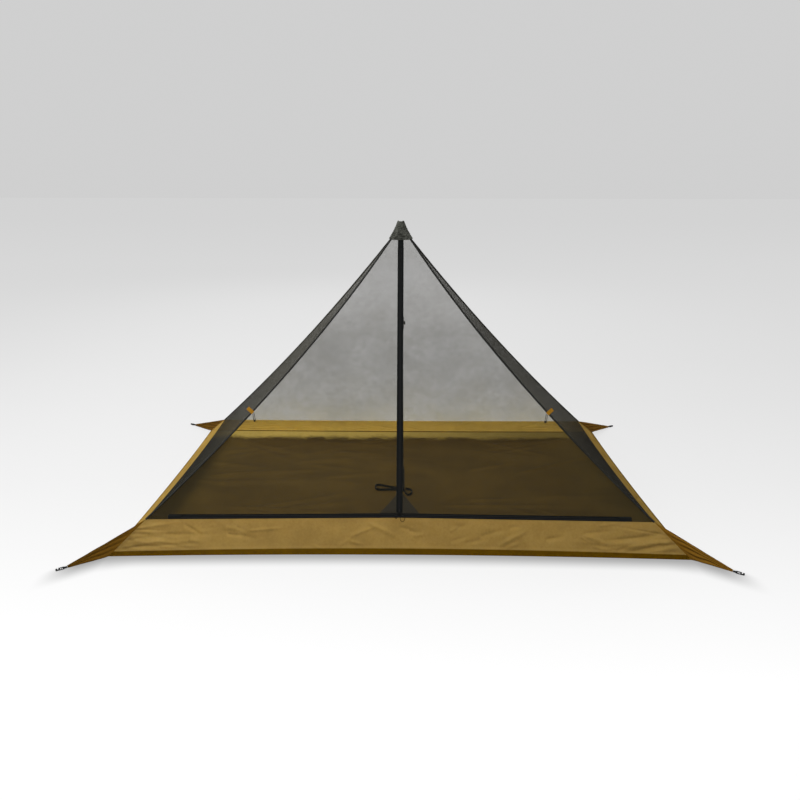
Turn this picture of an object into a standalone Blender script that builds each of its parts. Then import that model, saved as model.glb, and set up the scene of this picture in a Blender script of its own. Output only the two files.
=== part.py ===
"""Pyramid mesh inner tent on one pole, with a bathtub floor and two zipped mesh doors.

Units are metres and +Z is up. The origin is on the ground, under the peak. -Y is the front,
where the doors are, and +X is to the right of someone who looks at the front. Cloth is built
on its middle surface, and horizontal sections share one outline, so pieces that lie above
each other or side by side take their edges from the same functions.
"""

import math

import bmesh
import bpy
import numpy as np
from mathutils import Matrix, Vector

# Whole tent
FLOOR_LENGTH = 2.40
FLOOR_WIDTH = 1.42
PEAK_HEIGHT = 1.303
CLEARANCE = 0.0003

# Cloth
FLOOR_CLOTH = 0.0012
WALL_CLOTH = 0.0016
MESH_CLOTH = 0.0012
MITRE_GAP = 0.00025

# Bathtub walls, which lean in from the floor's edge
WALL_HEIGHT = 0.1137
WALL_LEAN_LONG = 0.127
WALL_LEAN_SHORT = 0.106
FRONT_FLOOR_BOW = 0.025
REAR_FLOOR_BOW = 0.012
SIDE_FLOOR_BOW = 0.012
SILL_INSET = 0.026
REAR_TOP_BOW = 0.010
SIDE_TOP_BOW = 0.012
LONG_EDGE_STEPS = 16
SHORT_EDGE_STEPS = 8

# Ridges, which run from the wall corners to the rim of the peak cap
CAP_DEPTH = 0.084
RIM_HEIGHT = PEAK_HEIGHT - CAP_DEPTH
RIM_HALF_LENGTH = 0.0493
RIM_HALF_WIDTH = 0.0300
FRONT_BOW_SHARE = 0.0585
REAR_BOW_SHARE = 0.0325
RIDGE_BINDING = 0.008
RIDGE_STEPS = 14
NOTCH_STEP = 0.0006

# Zips: one up the middle of the front, one along the sill
ZIP_POST_GAP = 0.0020
COIL_WIDTH = 0.0025
COIL_THICKNESS = 0.0026
COIL_EDGE = 0.0001
TAPE_THICKNESS = 0.0008
DOOR_TAPE_WIDTH = 0.0080
SILL_TAPE_RISE = 0.0039
SILL_COIL_RISE = 0.0022
SILL_POST_RISE = 0.0032
SILL_ZIP_HALF_LENGTH = 0.980
SILL_CHAIN_STEPS = 6

# Doors, each hinged on a straight line just inside its ridge
HINGE_FOOT = 0.925
HINGE_HEAD = 0.040
DOOR_HEAD_DROP = 0.029
DOOR_TOP = RIM_HEIGHT - DOOR_HEAD_DROP
HINGE_LINE_GAP = 0.0004
DOOR_STEPS = 10

# Zip sliders and their pulls
SLIDER_LENGTH = 0.0120
SLIDER_WIDTH = 0.0084
SLIDER_PLATE = 0.0012
SLIDER_THROAT = 0.0032
SLIDER_POST = 0.0012
SILL_SLIDER_PLACE = 0.0135
CROWN_LENGTH = 0.0052
CROWN_WIDTH = 0.0020
CROWN_HEIGHT = 0.0036
CROWN_EYE_LENGTH = 0.0026
CROWN_EYE_HEIGHT = 0.0024
CROWN_ROOT = 0.0004
PULL_CORD = 0.0015
RING_PULL_LENGTH = 0.0250
RING_PULL_WIDTH = 0.0200
SMALL_PULL_LENGTH = 0.0130
SMALL_PULL_WIDTH = 0.0070
PULL_STEPS = 20
PULL_REST_GAP = 0.0004

# Peak cap
CAP_CLOTH = 0.0014
CROWN_DEPTH = 0.021
NECK_HEIGHT = PEAK_HEIGHT - CROWN_DEPTH
NECK_HALF_WIDTH = 0.0220
CROWN_HALF_WIDTH = 0.0155
CAP_CEILING = 0.0100
CAP_STEPS = 24
CAP_LEVELS = 5
RIM_SQUARE_SHARE = 0.30
NECK_SQUARE_SHARE = 1.0
CAP_FLARE_SHARE = 1.0

# Corner gussets, tie-out webbing, buckles and hooks
TIP_REACH_LONG = 0.126
TIP_REACH_SHORT = 0.0825
GUSSET_CLOTH = 0.0022
GUSSET_TIP_HEIGHT = 0.0100
GUSSET_LIFT = 0.0006
PLEAT_DEPTH = 0.0060
TIP_PLEAT_DEPTH = 0.0012
PLEATS = 3
GUSSET_STEPS = 6
WEBBING_WIDTH = 0.0120
WEBBING_THICKNESS = 0.0011
WEBBING_REACH = 0.0140
BAR_EYE_RADIUS = 0.0022
EYE_STEPS = 14
EYE_TURN_DEGREES = 150
BUCKLE_WIDTH = 0.0175
BUCKLE_THICKNESS = 0.0030
BUCKLE_BAR = 0.0022
BUCKLE_RAIL = 0.0020
BUCKLE_FIRST_WINDOW = 0.0053
BUCKLE_SECOND_WINDOW = 0.0061
HARDWARE_HEIGHT = 0.0046
HOOK_WIDTH = 0.0080
HOOK_THICKNESS = 0.0016
HOOK_SHANK = 0.0060
HOOK_MOUTH_RADIUS = 0.0021
HOOK_EYE_START_DEGREES = 60
HOOK_EYE_END_DEGREES = 270
HOOK_MOUTH_START_DEGREES = -90
CUT_OVERRUN = 0.0020

# Door tie-backs on the front ridges
TIE_HEIGHT = 0.513
TIE_TAB_WIDTH = 0.0160
TIE_TAB_THICKNESS = 0.0010
TIE_TAB_LIFT = 0.0004
TIE_TAB_ROUTE = [(-0.007, 0), (0.006, 0), (0.017, -0.001), (0.027, -0.004)]
TIE_CORD = 0.0024
TIE_CORD_GAP = 0.00025
TIE_CORD_START = 0.0083
TIE_CORD_POINTS = 40
TIE_BUTTON_ACROSS = 0.634
TIE_BUTTON_HEIGHT = 0.479
TIE_BUTTON_LIFT = 0.0004
TIE_BUTTON_WAIST = 0.0020
TIE_BUTTON_RADIUS = 0.0044
TIE_BUTTON_FLANGE = 0.0009
TIE_BEND_STEPS = 6
LEG_SHARE = 0.6

# Pole, which stands upside down with its grip on the floor
POLE_FOOT_ACROSS = 0.009
POLE_FOOT_DEPTH = -0.095
POLE_FOOT_LIFT = 0.0008
POLE_HEAD_GAP = 0.0008
GRIP_LENGTH = 0.125
GRIP_OUTLINE = [(0.0080, 0), (0.0125, 0.004), (0.0142, 0.012), (0.0130, 0.035), (0.0138, 0.060), (0.0128, 0.085), (0.0138, 0.105)]
GRIP_END_RADIUS = 0.0115
GRIP_SOCKET = 0.020
OUTER_TUBE_RADIUS = 0.0085
OUTER_TUBE_BORE = 0.0074
INNER_TUBE_RADIUS = 0.0070
TUBE_JOINT_HEIGHT = 0.852
TUBE_FLOOR = 0.010
INNER_TUBE_OVERLAP = 0.120
TIP_HEIGHT = 0.052
TIP_SHOULDER = 0.006
TIP_SPIGOT = 0.012
TIP_SPIGOT_RADIUS = 0.0040
TIP_END_RADIUS = 0.0040
INNER_TUBE_TRAVEL = 0.300
TURNED_STEPS = 24

# Pole lock
CLAMP_SKIRT = 0.037
CLAMP_COLLAR = 0.019
CLAMP_LOW = TUBE_JOINT_HEIGHT - CLAMP_SKIRT
CLAMP_HIGH = TUBE_JOINT_HEIGHT + CLAMP_COLLAR
CLAMP_RADIUS = 0.0122
LUG_DROP = 0.009
LUG_MIDDLE = TUBE_JOINT_HEIGHT - LUG_DROP
LUG_HEIGHT = 0.0070
LUG_WIDTH = 0.0070
LUG_ROOT = 0.0105
LUG_REACH = 0.0190
PIN_PLACE = 0.0158
PIN_RADIUS = 0.0013
PIN_HOLE_RADIUS = 0.0015
PIN_HEAD = 0.0006
PIN_HEAD_RADIUS = 0.0019
LEVER_THICKNESS = 0.0056
LEVER_LENGTH = 0.0220
LEVER_HUB = 0.0019
LEVER_CHEEK = 0.0030
LEVER_SLOT = 0.0052

# Wrist strap, which stands on its edge on the floor beside the grip
STRAP_WIDTH = 0.0090
STRAP_THICKNESS = 0.0018
STRAP_POINTS = 64
STRAP_ROUTE = [
    (-0.0170, 0.008), (-0.045, 0.014), (-0.080, 0.027), (-0.112, 0.040), (-0.130, 0.038), (-0.136, 0.020),
    (-0.132, 0), (-0.118, -0.012), (-0.085, -0.012), (-0.040, -0.010), (0, -0.020), (0.012, -0.022),
    (0.018, -0.050), (0.031, -0.068),
    (0.045, -0.055), (0.051, -0.036), (0.045, -0.014), (0.030, -0.004), (0.0170, 0.002)]

# Floor patch in front of the pole
PATCH_CLOTH = 0.0008
PATCH_APEX = -0.135
PATCH_FRONT = -0.420
PATCH_HALF_WIDTH = 0.122
PATCH_APEX_HALF_WIDTH = 0.012

FRONT = -1
REAR = 1
LEFT = -1
RIGHT = 1
SIDE_NAMES = {LEFT: "left", RIGHT: "right"}
END_NAMES = {FRONT: "front", REAR: "rear"}


def clear_scene():
    """Empties the file, so that the script always starts from nothing."""
    for item in list(bpy.data.objects):
        bpy.data.objects.remove(item, do_unlink=True)


def make_material(name, colour, roughness, metallic=0.0):
    """One Principled BSDF with a plain colour."""
    material = bpy.data.materials.new(name)
    material.use_nodes = True
    shader = material.node_tree.nodes["Principled BSDF"]
    shader.inputs["Base Color"].default_value = (*colour, 1.0)
    shader.inputs["Roughness"].default_value = roughness
    shader.inputs["Metallic"].default_value = metallic
    return material


def make_materials():
    """Every finish on the tent, by name."""
    return {
        "ground_cloth": make_material("ground_cloth", (0.30, 0.18, 0.045), 0.60),
        "wall_cloth": make_material("wall_cloth", (0.42, 0.26, 0.07), 0.50),
        "gusset_cloth": make_material("gusset_cloth", (0.30, 0.17, 0.04), 0.55),
        "mesh": make_material("mesh", (0.045, 0.045, 0.042), 0.90),
        "binding": make_material("binding", (0.015, 0.015, 0.016), 0.80),
        "cap_cloth": make_material("cap_cloth", (0.075, 0.078, 0.070), 0.70),
        "webbing": make_material("webbing", (0.016, 0.016, 0.018), 0.75),
        "moulded": make_material("moulded", (0.012, 0.012, 0.013), 0.35),
        "zip_tape": make_material("zip_tape", (0.014, 0.015, 0.017), 0.70),
        "zip_metal": make_material("zip_metal", (0.030, 0.030, 0.032), 0.35, 0.6),
        "tie_tape": make_material("tie_tape", (0.75, 0.33, 0.03), 0.65),
        "elastic": make_material("elastic", (0.020, 0.016, 0.014), 0.70),
        "patch_cloth": make_material("patch_cloth", (0.10, 0.075, 0.05), 0.75),
        "carbon": make_material("carbon", (0.022, 0.023, 0.025), 0.30),
        "grip_foam": make_material("grip_foam", (0.020, 0.020, 0.021), 0.85),
        "tip_metal": make_material("tip_metal", (0.35, 0.35, 0.36), 0.35, 1.0),
    }


def link(name, mesh, material):
    """Puts a mesh in the scene as one named piece."""
    mesh.materials.append(material)
    piece = bpy.data.objects.new(name, mesh)
    bpy.context.collection.objects.link(piece)
    return piece


def add_solid(name, points, faces, material):
    """A closed piece from its corners and faces, with every face turned outwards."""
    mesh = bpy.data.meshes.new(name)
    mesh.from_pydata([tuple(point) for point in points], [], faces)
    work = bmesh.new()
    work.from_mesh(mesh)
    bmesh.ops.recalc_face_normals(work, faces=work.faces)
    if work.calc_volume(signed=True) < 0:
        bmesh.ops.reverse_faces(work, faces=work.faces)
    work.to_mesh(mesh)
    work.free()
    return link(name, mesh, material)


def add_shell(name, outer, inner, material):
    """A closed sheet between two grids of points that have the same rows and columns."""
    rows = len(outer)
    columns = len(outer[0])
    points = [point for row in outer for point in row]
    points += [point for row in inner for point in row]
    back = rows * columns

    def corner(row, column):
        return row * columns + column

    faces = []
    for row in range(rows - 1):
        for column in range(columns - 1):
            low, high = corner(row, column), corner(row + 1, column)
            for triangle in ([low, low + 1, high + 1], [low, high + 1, high]):
                faces.append(triangle)
                faces.append([back + index for index in reversed(triangle)])
    edge = [corner(0, column) for column in range(columns)]
    edge += [corner(row, columns - 1) for row in range(1, rows)]
    edge += [corner(rows - 1, column) for column in reversed(range(columns - 1))]
    edge += [corner(row, 0) for row in reversed(range(1, rows - 1))]
    for here, following in zip(edge, edge[1:] + edge[:1]):
        faces.append([here, back + here, back + following, following])
    return add_solid(name, points, faces, material)


def add_ribbon(name, path, across, thickness, material):
    """A flat strip of one thickness along a path, as wide as the vector `across`."""
    path = [Vector(point) for point in path]
    half_width = across / 2
    front = []
    back = []
    for index, point in enumerate(path):
        before = path[max(index - 1, 0)]
        after = path[min(index + 1, len(path) - 1)]
        normal = (after - before).cross(across).normalized() * (thickness / 2)
        front.append([point - half_width + normal, point + half_width + normal])
        back.append([point - half_width - normal, point + half_width - normal])
    return add_shell(name, front, back, material)


def add_loft(name, rings, material):
    """A closed piece through rings of points, with a flat face over the first and the last."""
    size = len(rings[0])
    points = [point for ring in rings for point in ring]
    faces = [list(range(size))]
    for level in range(len(rings) - 1):
        for index in range(size):
            following = (index + 1) % size
            low = level * size
            high = low + size
            faces.append([low + index, low + following, high + following, high + index])
    last = (len(rings) - 1) * size
    faces.append([last + index for index in reversed(range(size))])
    return add_solid(name, points, faces, material)


def add_turned(name, profile, material):
    """A round piece: a closed outline of (radius, height) points turned about Z."""
    angles = [2 * math.pi * step / TURNED_STEPS for step in range(TURNED_STEPS)]
    points = []
    rings = []
    for radius, height in profile:
        if radius == 0:
            rings.append([len(points)])
            points.append(Vector((0, 0, height)))
            continue
        rings.append([len(points) + step for step in range(TURNED_STEPS)])
        for angle in angles:
            points.append(Vector((radius * math.cos(angle), radius * math.sin(angle), height)))
    faces = []
    pairs = list(zip(rings, rings[1:] + rings[:1]))
    for low, high in pairs:
        if len(low) == 1 and len(high) == 1:
            continue
        for step in range(TURNED_STEPS):
            following = (step + 1) % TURNED_STEPS
            ring = [low[step % len(low)], low[following % len(low)]]
            ring += [high[following % len(high)], high[step % len(high)]]
            faces.append(list(dict.fromkeys(ring)))
    piece = add_solid(name, points, faces, material)
    piece.data.shade_smooth()
    piece.data.set_sharp_from_angle(angle=math.radians(30))
    return piece


def add_box(name, low, high, material):
    """A plain block between two opposite corners."""
    xs, ys, zs = zip(low, high)
    lower = [Vector((x, y, zs[0])) for x, y in ((xs[0], ys[0]), (xs[1], ys[0]), (xs[1], ys[1]), (xs[0], ys[1]))]
    upper = [Vector((point.x, point.y, zs[1])) for point in lower]
    return add_loft(name, [lower, upper], material)


def add_cord(name, points, diameter, material, closed=False):
    """A round cord through points, with flat filled ends where it isn't a closed loop."""
    curve = bpy.data.curves.new(name, "CURVE")
    curve.dimensions = "3D"
    curve.bevel_depth = diameter / 2
    curve.bevel_resolution = 2
    curve.use_fill_caps = not closed
    spline = curve.splines.new("POLY")
    spline.points.add(len(points) - 1)
    for place, point in zip(spline.points, points):
        place.co = (*point, 1.0)
    spline.use_cyclic_u = closed
    return link(name, curve, material)


def apply_boolean(piece, helper, operation):
    """Joins a helper to a piece or cuts it away, and keeps the helper out of the model."""
    helper.hide_render = True
    helper.display_type = "WIRE"
    modifier = piece.modifiers.new(operation.lower(), "BOOLEAN")
    modifier.operation = operation
    modifier.solver = "EXACT"
    modifier.object = helper


def smooth_route(route, count):
    """Even points on a smooth curve through a route's own points."""
    route = np.array(route, dtype=float)
    padded = np.vstack([2 * route[0] - route[1], route, 2 * route[-1] - route[-2]])
    fine = []
    for index in range(len(route) - 1):
        before, start, end, after = padded[index:index + 4]
        for share in np.linspace(0, 1, 24, endpoint=False):
            bend = (2 * start, end - before, 2 * before - 5 * start + 4 * end - after)
            last = 3 * start - before - 3 * end + after
            fine.append((bend[0] + bend[1] * share + bend[2] * share**2 + last * share**3) / 2)
    fine.append(route[-1])
    fine = np.array(fine)
    run = np.concatenate([[0], np.cumsum(np.linalg.norm(np.diff(fine, axis=0), axis=1))])
    places = np.linspace(0, run[-1], count)
    return [Vector([np.interp(place, run, fine[:, axis]) for axis in range(3)]) for place in places]


def mix(start, end, share):
    """The value a share of the way from start to end."""
    return start + (end - start) * share


def even(start, end, steps):
    """Evenly spaced values from start to end, both included."""
    return [mix(start, end, step / steps) for step in range(steps + 1)]


def ridge_corner(bow_share, height):
    """Half length and half width of the tent between its ridges at a height."""
    rise_share = (height - WALL_HEIGHT) / (RIM_HEIGHT - WALL_HEIGHT)
    reach_share = (1 - rise_share) * (1 - 4 * bow_share * rise_share)
    foot_length = FLOOR_LENGTH / 2 - WALL_LEAN_LONG
    foot_width = FLOOR_WIDTH / 2 - WALL_LEAN_SHORT
    return Vector((mix(RIM_HALF_LENGTH, foot_length, reach_share), mix(RIM_HALF_WIDTH, foot_width, reach_share)))


def bow_share_of(end):
    """How much the ridges at one end bow in, as a share of their reach."""
    return FRONT_BOW_SHARE if end == FRONT else REAR_BOW_SHARE


def zip_depth(height):
    """Distance of the straight door zip in front of the peak."""
    rise_share = (height - WALL_HEIGHT) / (RIM_HEIGHT - WALL_HEIGHT)
    return mix(FLOOR_WIDTH / 2 - WALL_LEAN_SHORT - SILL_INSET, RIM_HALF_WIDTH, rise_share)


def front_point(side, across, height, forwards=0.0):
    """A point on the front cloth, `across` from the zip, moved `forwards` of its middle surface."""
    corner = ridge_corner(FRONT_BOW_SHARE, height)
    depth = mix(zip_depth(height), corner.y, across / corner.x)
    return Vector((side * across, -(depth + forwards), height))


def front_frame(side, across, low, high):
    """Directions along, up and out of the front cloth halfway between two heights."""
    middle = (low + high) / 2
    along = (front_point(side, across, middle) - front_point(side, 0, middle)).normalized() * side
    up = front_point(side, across, high) - front_point(side, across, low)
    up.x = 0
    up = (up - along * up.dot(along)).normalized()
    return along, up, along.cross(up).normalized()


def hinge_across(height):
    """Distance of a door's hinge line from the zip."""
    return mix(HINGE_FOOT, HINGE_HEAD, (height - WALL_HEIGHT) / (DOOR_TOP - WALL_HEIGHT))


def wall_half_size(height):
    """Half length and half width of the bathtub at a height."""
    share = height / WALL_HEIGHT
    return FLOOR_LENGTH / 2 - WALL_LEAN_LONG * share, FLOOR_WIDTH / 2 - WALL_LEAN_SHORT * share


def wall_bow(end, share, height):
    """How far a front or rear wall stands in from its corners' line."""
    rise_share = height / WALL_HEIGHT
    arch = 1 - share**2
    if end == FRONT:
        return mix(FRONT_FLOOR_BOW * arch, SILL_INSET * (1 - abs(share)), rise_share)
    return mix(REAR_FLOOR_BOW, REAR_TOP_BOW, rise_share) * arch


def side_wall_bow(share, height):
    """How far a side wall stands in from its corners' line."""
    return mix(SIDE_FLOOR_BOW, SIDE_TOP_BOW, height / WALL_HEIGHT) * (1 - share**2)


def long_wall_row(end, height, out):
    """One level of a front or rear wall, moved out of its middle surface."""
    half_length, half_width = wall_half_size(height)
    row = []
    for share in even(-1, 1, LONG_EDGE_STEPS):
        depth = half_width + out - wall_bow(end, share, height)
        row.append(Vector((share * (half_length + out - MITRE_GAP), end * depth, height)))
    return row


def short_wall_row(side, height, out):
    """One level of a side wall, moved out of its middle surface."""
    half_length, half_width = wall_half_size(height)
    row = []
    for share in even(-1, 1, SHORT_EDGE_STEPS):
        reach = half_length + out - side_wall_bow(share, height)
        row.append(Vector((side * reach, share * (half_width + out - MITRE_GAP), height)))
    return row


def make_floor(materials):
    """The floor cloth, which ends just inside the walls."""
    faces = []
    for height in (FLOOR_CLOTH, 0):
        half_length, half_width = wall_half_size(height)
        inner_length = half_length - WALL_CLOTH / 2 - CLEARANCE
        inner_width = half_width - WALL_CLOTH / 2 - CLEARANCE
        rows = []
        for share_y in even(-1, 1, SHORT_EDGE_STEPS):
            row = []
            for share_x in even(-1, 1, LONG_EDGE_STEPS):
                end = FRONT if share_y < 0 else REAR
                x = share_x * (inner_length - side_wall_bow(share_y, height))
                y = share_y * (inner_width - wall_bow(end, share_x, height))
                row.append(Vector((x, y, height)))
            rows.append(row)
        faces.append(rows)
    add_shell("floor", faces[0], faces[1], materials["ground_cloth"])


def make_walls(materials):
    """The four walls of the bathtub."""
    half = WALL_CLOTH / 2
    for end in (FRONT, REAR):
        outer = [long_wall_row(end, height, half) for height in (0, WALL_HEIGHT)]
        inner = [long_wall_row(end, height, -half) for height in (0, WALL_HEIGHT)]
        add_shell(END_NAMES[end] + "_wall", outer, inner, materials["wall_cloth"])
    for side in (LEFT, RIGHT):
        outer = [short_wall_row(side, height, half) for height in (0, WALL_HEIGHT)]
        inner = [short_wall_row(side, height, -half) for height in (0, WALL_HEIGHT)]
        add_shell(SIDE_NAMES[side] + "_wall", outer, inner, materials["wall_cloth"])


def sill_zip_top():
    """Height of the upper edge of the sill zip's upper tape."""
    return WALL_HEIGHT + CLEARANCE + 2 * (SILL_TAPE_RISE + SILL_COIL_RISE) + SILL_POST_RISE


def panel_levels():
    """The heights that every ridge and panel above the walls shares, so that their edges match."""
    notch = sill_zip_top() + CLEARANCE
    levels = [WALL_HEIGHT + CLEARANCE, notch] + even(notch + NOTCH_STEP, DOOR_TOP, RIDGE_STEPS)
    return levels + [DOOR_TOP + CLEARANCE, RIM_HEIGHT - CLEARANCE]


def margin_levels():
    """The shared heights from the wall's top up to the doors' top."""
    return panel_levels()[:-2]


def door_levels():
    """The shared heights from the sill zip's top up to the doors' top."""
    return margin_levels()[1:]


def make_ridges(materials):
    """The bound seam along each ridge, as a bar that is square in plan."""
    half = RIDGE_BINDING / 2
    for end in (FRONT, REAR):
        for side in (LEFT, RIGHT):
            rings = []
            for height in panel_levels():
                corner = ridge_corner(bow_share_of(end), height)
                x = side * corner.x
                y = end * corner.y
                ring = [(x - half, y - half), (x + half, y - half), (x + half, y + half), (x - half, y + half)]
                rings.append([Vector((*place, height)) for place in ring])
            add_loft("ridge_" + END_NAMES[end] + "_" + SIDE_NAMES[side], rings, materials["binding"])


def make_side_meshes(materials):
    """The left and right mesh panels, between a front and a rear ridge."""
    seam = RIDGE_BINDING / 2 + CLEARANCE
    for side in (LEFT, RIGHT):
        sheets = []
        for out in (MESH_CLOTH / 2, -MESH_CLOTH / 2):
            rows = []
            for height in panel_levels():
                front = ridge_corner(FRONT_BOW_SHARE, height)
                rear = ridge_corner(REAR_BOW_SHARE, height)
                bow = SIDE_TOP_BOW * (RIM_HEIGHT - height) / (RIM_HEIGHT - WALL_HEIGHT)
                row = []
                for share in even(0, 1, SHORT_EDGE_STEPS):
                    x = mix(front.x, rear.x, share) + out - bow * 4 * share * (1 - share)
                    row.append(Vector((side * x, mix(-(front.y - seam), rear.y - seam, share), height)))
                rows.append(row)
            sheets.append(rows)
        add_shell(SIDE_NAMES[side] + "_mesh", sheets[0], sheets[1], materials["mesh"])


def make_rear_mesh(materials):
    """The rear mesh panel."""
    seam = RIDGE_BINDING / 2 + CLEARANCE
    sheets = []
    for out in (MESH_CLOTH / 2, -MESH_CLOTH / 2):
        rows = []
        for height in panel_levels():
            corner = ridge_corner(REAR_BOW_SHARE, height)
            bow = REAR_TOP_BOW * (RIM_HEIGHT - height) / (RIM_HEIGHT - WALL_HEIGHT)
            row = []
            for share in even(-1, 1, SHORT_EDGE_STEPS):
                row.append(Vector((share * (corner.x - seam), corner.y + out - bow * (1 - share**2), height)))
            rows.append(row)
        sheets.append(rows)
    add_shell("rear_mesh", sheets[0], sheets[1], materials["mesh"])


def front_strip(side, spans, thickness):
    """Two grids of the front cloth from (height, inner, outer) spans, half a thickness each way."""
    sheets = []
    for out in (thickness / 2, -thickness / 2):
        rows = []
        for height, inner, outer in spans:
            rows.append([front_point(side, inner, height, out), front_point(side, outer, height, out)])
        sheets.append(rows)
    return sheets


def make_front_margins(materials):
    """The strip of front mesh between each ridge and its door, notched over the zip's end."""
    seam = RIDGE_BINDING / 2 + CLEARANCE
    notch = sill_zip_top() + CLEARANCE
    for side in (LEFT, RIGHT):
        spans = []
        for height in margin_levels():
            inner = SILL_ZIP_HALF_LENGTH + CLEARANCE
            if height > notch:
                inner = hinge_across(height) + HINGE_LINE_GAP / 2
            spans.append((height, inner, ridge_corner(FRONT_BOW_SHARE, height).x - seam))
        outer, inner = front_strip(side, spans, MESH_CLOTH)
        add_shell(SIDE_NAMES[side] + "_front_margin", outer, inner, materials["mesh"])


def make_front_top(materials):
    """The small front panel between the doors and the peak cap."""
    seam = RIDGE_BINDING / 2 + CLEARANCE
    sheets = []
    for out in (MESH_CLOTH / 2, -MESH_CLOTH / 2):
        rows = []
        for height in (DOOR_TOP + CLEARANCE, RIM_HEIGHT - CLEARANCE):
            half = ridge_corner(FRONT_BOW_SHARE, height).x - seam
            row = [front_point(LEFT, half, height, out), front_point(LEFT, 0, height, out)]
            rows.append(row + [front_point(RIGHT, half, height, out)])
        sheets.append(rows)
    add_shell("front_top_panel", sheets[0], sheets[1], materials["mesh"])


def door_tape_edge():
    """Distance of the door zip tape's outer edge from the middle."""
    return ZIP_POST_GAP / 2 + COIL_WIDTH + DOOR_TAPE_WIDTH


def door_zip_foot():
    """Height at which the door zip starts, just above its parked slider."""
    slider_rise = SLIDER_LENGTH * front_frame(RIGHT, 0, WALL_HEIGHT, DOOR_TOP)[1].z
    return door_slider_middle() + slider_rise / 2 + CLEARANCE


def door_slider_middle():
    """Height of the parked door slider's middle."""
    slider_rise = SLIDER_LENGTH * front_frame(RIGHT, 0, WALL_HEIGHT, DOOR_TOP)[1].z
    return sill_zip_top() + SLIDER_PLATE + slider_rise / 2


def make_doors(materials):
    """The two mesh doors, each with its half of the door zip and of the sill zip."""
    for side in (LEFT, RIGHT):
        name = SIDE_NAMES[side]
        spans = []
        for height in door_levels():
            edge = door_tape_edge() + CLEARANCE
            spans.append((height, edge, hinge_across(height) - HINGE_LINE_GAP / 2))
        outer, inner = front_strip(side, spans, MESH_CLOTH)
        add_shell(name + "_door", outer, inner, materials["mesh"])
        make_door_zip(side, materials["zip_tape"])
        make_upper_sill_zip(side, materials["zip_tape"])


def make_door_zip(side, material):
    """One half of the door zip: a thick coil beside the middle and a thin tape outside it."""
    coil = ZIP_POST_GAP / 2 + COIL_WIDTH
    columns = [(ZIP_POST_GAP / 2, COIL_THICKNESS), (coil, COIL_THICKNESS)]
    columns += [(coil + COIL_EDGE, TAPE_THICKNESS), (door_tape_edge(), TAPE_THICKNESS)]
    sheets = []
    for face in (1, -1):
        rows = []
        for height in even(door_zip_foot(), DOOR_TOP, DOOR_STEPS):
            rows.append([front_point(side, across, height, face * thick / 2) for across, thick in columns])
        sheets.append(rows)
    add_shell(SIDE_NAMES[side] + "_door_zip", sheets[0], sheets[1], material)


def sill_rows(start, tape_first):
    """Heights and thicknesses across one half of the sill zip, from its lower edge up."""
    tape = (SILL_TAPE_RISE, TAPE_THICKNESS)
    coil = (SILL_COIL_RISE, COIL_THICKNESS)
    first, second = (tape, coil) if tape_first else (coil, tape)
    middle = start + first[0]
    rows = [(start, first[1]), (middle, first[1])]
    return rows + [(middle + COIL_EDGE, second[1]), (middle + second[0], second[1])]


def upper_sill_start():
    """Height of the lower edge of the sill zip's upper half."""
    return WALL_HEIGHT + CLEARANCE + SILL_TAPE_RISE + SILL_COIL_RISE + SILL_POST_RISE


def make_upper_sill_zip(side, material):
    """The half of the sill zip that is sewn to a door's lower edge."""
    inner = SILL_SLIDER_PLACE + SLIDER_LENGTH / 2 + CLEARANCE
    sheets = []
    for face in (1, -1):
        rows = []
        for height, thick in sill_rows(upper_sill_start(), False):
            outer = hinge_across(height) - HINGE_LINE_GAP / 2
            row = []
            for share in even(0, 1, SILL_CHAIN_STEPS):
                row.append(front_point(side, mix(inner, outer, share), height, face * thick / 2))
            rows.append(row)
        sheets.append(rows)
    add_shell(SIDE_NAMES[side] + "_sill_zip", sheets[0], sheets[1], material)


def make_lower_sill_zip(material):
    """The half of the sill zip on the front wall, whose tape runs on past both doors as one patch."""
    joint = HINGE_FOOT + HINGE_LINE_GAP
    places = [-SILL_ZIP_HALF_LENGTH, -joint]
    places += even(-joint + COIL_EDGE, 0, SILL_CHAIN_STEPS)
    places += [-place for place in reversed(places[:-1])]
    levels = sill_rows(WALL_HEIGHT + CLEARANCE, True)
    sheets = []
    for face in (1, -1):
        rows = []
        for level, (height, thick) in enumerate(levels):
            row = []
            for place in places:
                here = height
                thickness = thick
                if abs(place) >= joint:
                    here = mix(WALL_HEIGHT + CLEARANCE, sill_zip_top(), level / (len(levels) - 1))
                    thickness = TAPE_THICKNESS
                side = RIGHT if place > 0 else LEFT
                row.append(front_point(side, abs(place), here, face * thickness / 2))
            rows.append(row)
        sheets.append(rows)
    add_shell("sill_zip_lower", sheets[0], sheets[1], material)


def place_at(piece, origin, along, up, out):
    """Stands a piece that was made along X, up Y and out Z at a place on the front."""
    turn = Matrix((along, up, out)).transposed().to_4x4()
    piece.matrix_world = Matrix.Translation(origin) @ turn


def make_slider(name, material):
    """A zip slider in its own frame: it travels along X, its teeth are to +Y and -Y, and +Z is out."""
    half = SLIDER_WIDTH / 2
    post = SLIDER_POST / 2
    throat = SLIDER_THROAT / 2
    back = throat + SLIDER_PLATE
    outline = [(-half, throat), (-post, throat), (-post, -throat), (-half, -throat), (-half, -back)]
    outline += [(half, -back), (half, -throat), (post, -throat), (post, throat), (half, throat)]
    outline += [(half, back), (-half, back)]
    ends = []
    for place in (-SLIDER_LENGTH / 2, SLIDER_LENGTH / 2):
        ends.append([Vector((place, y, z)) for y, z in outline])
    return add_loft(name, ends, material)


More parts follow.
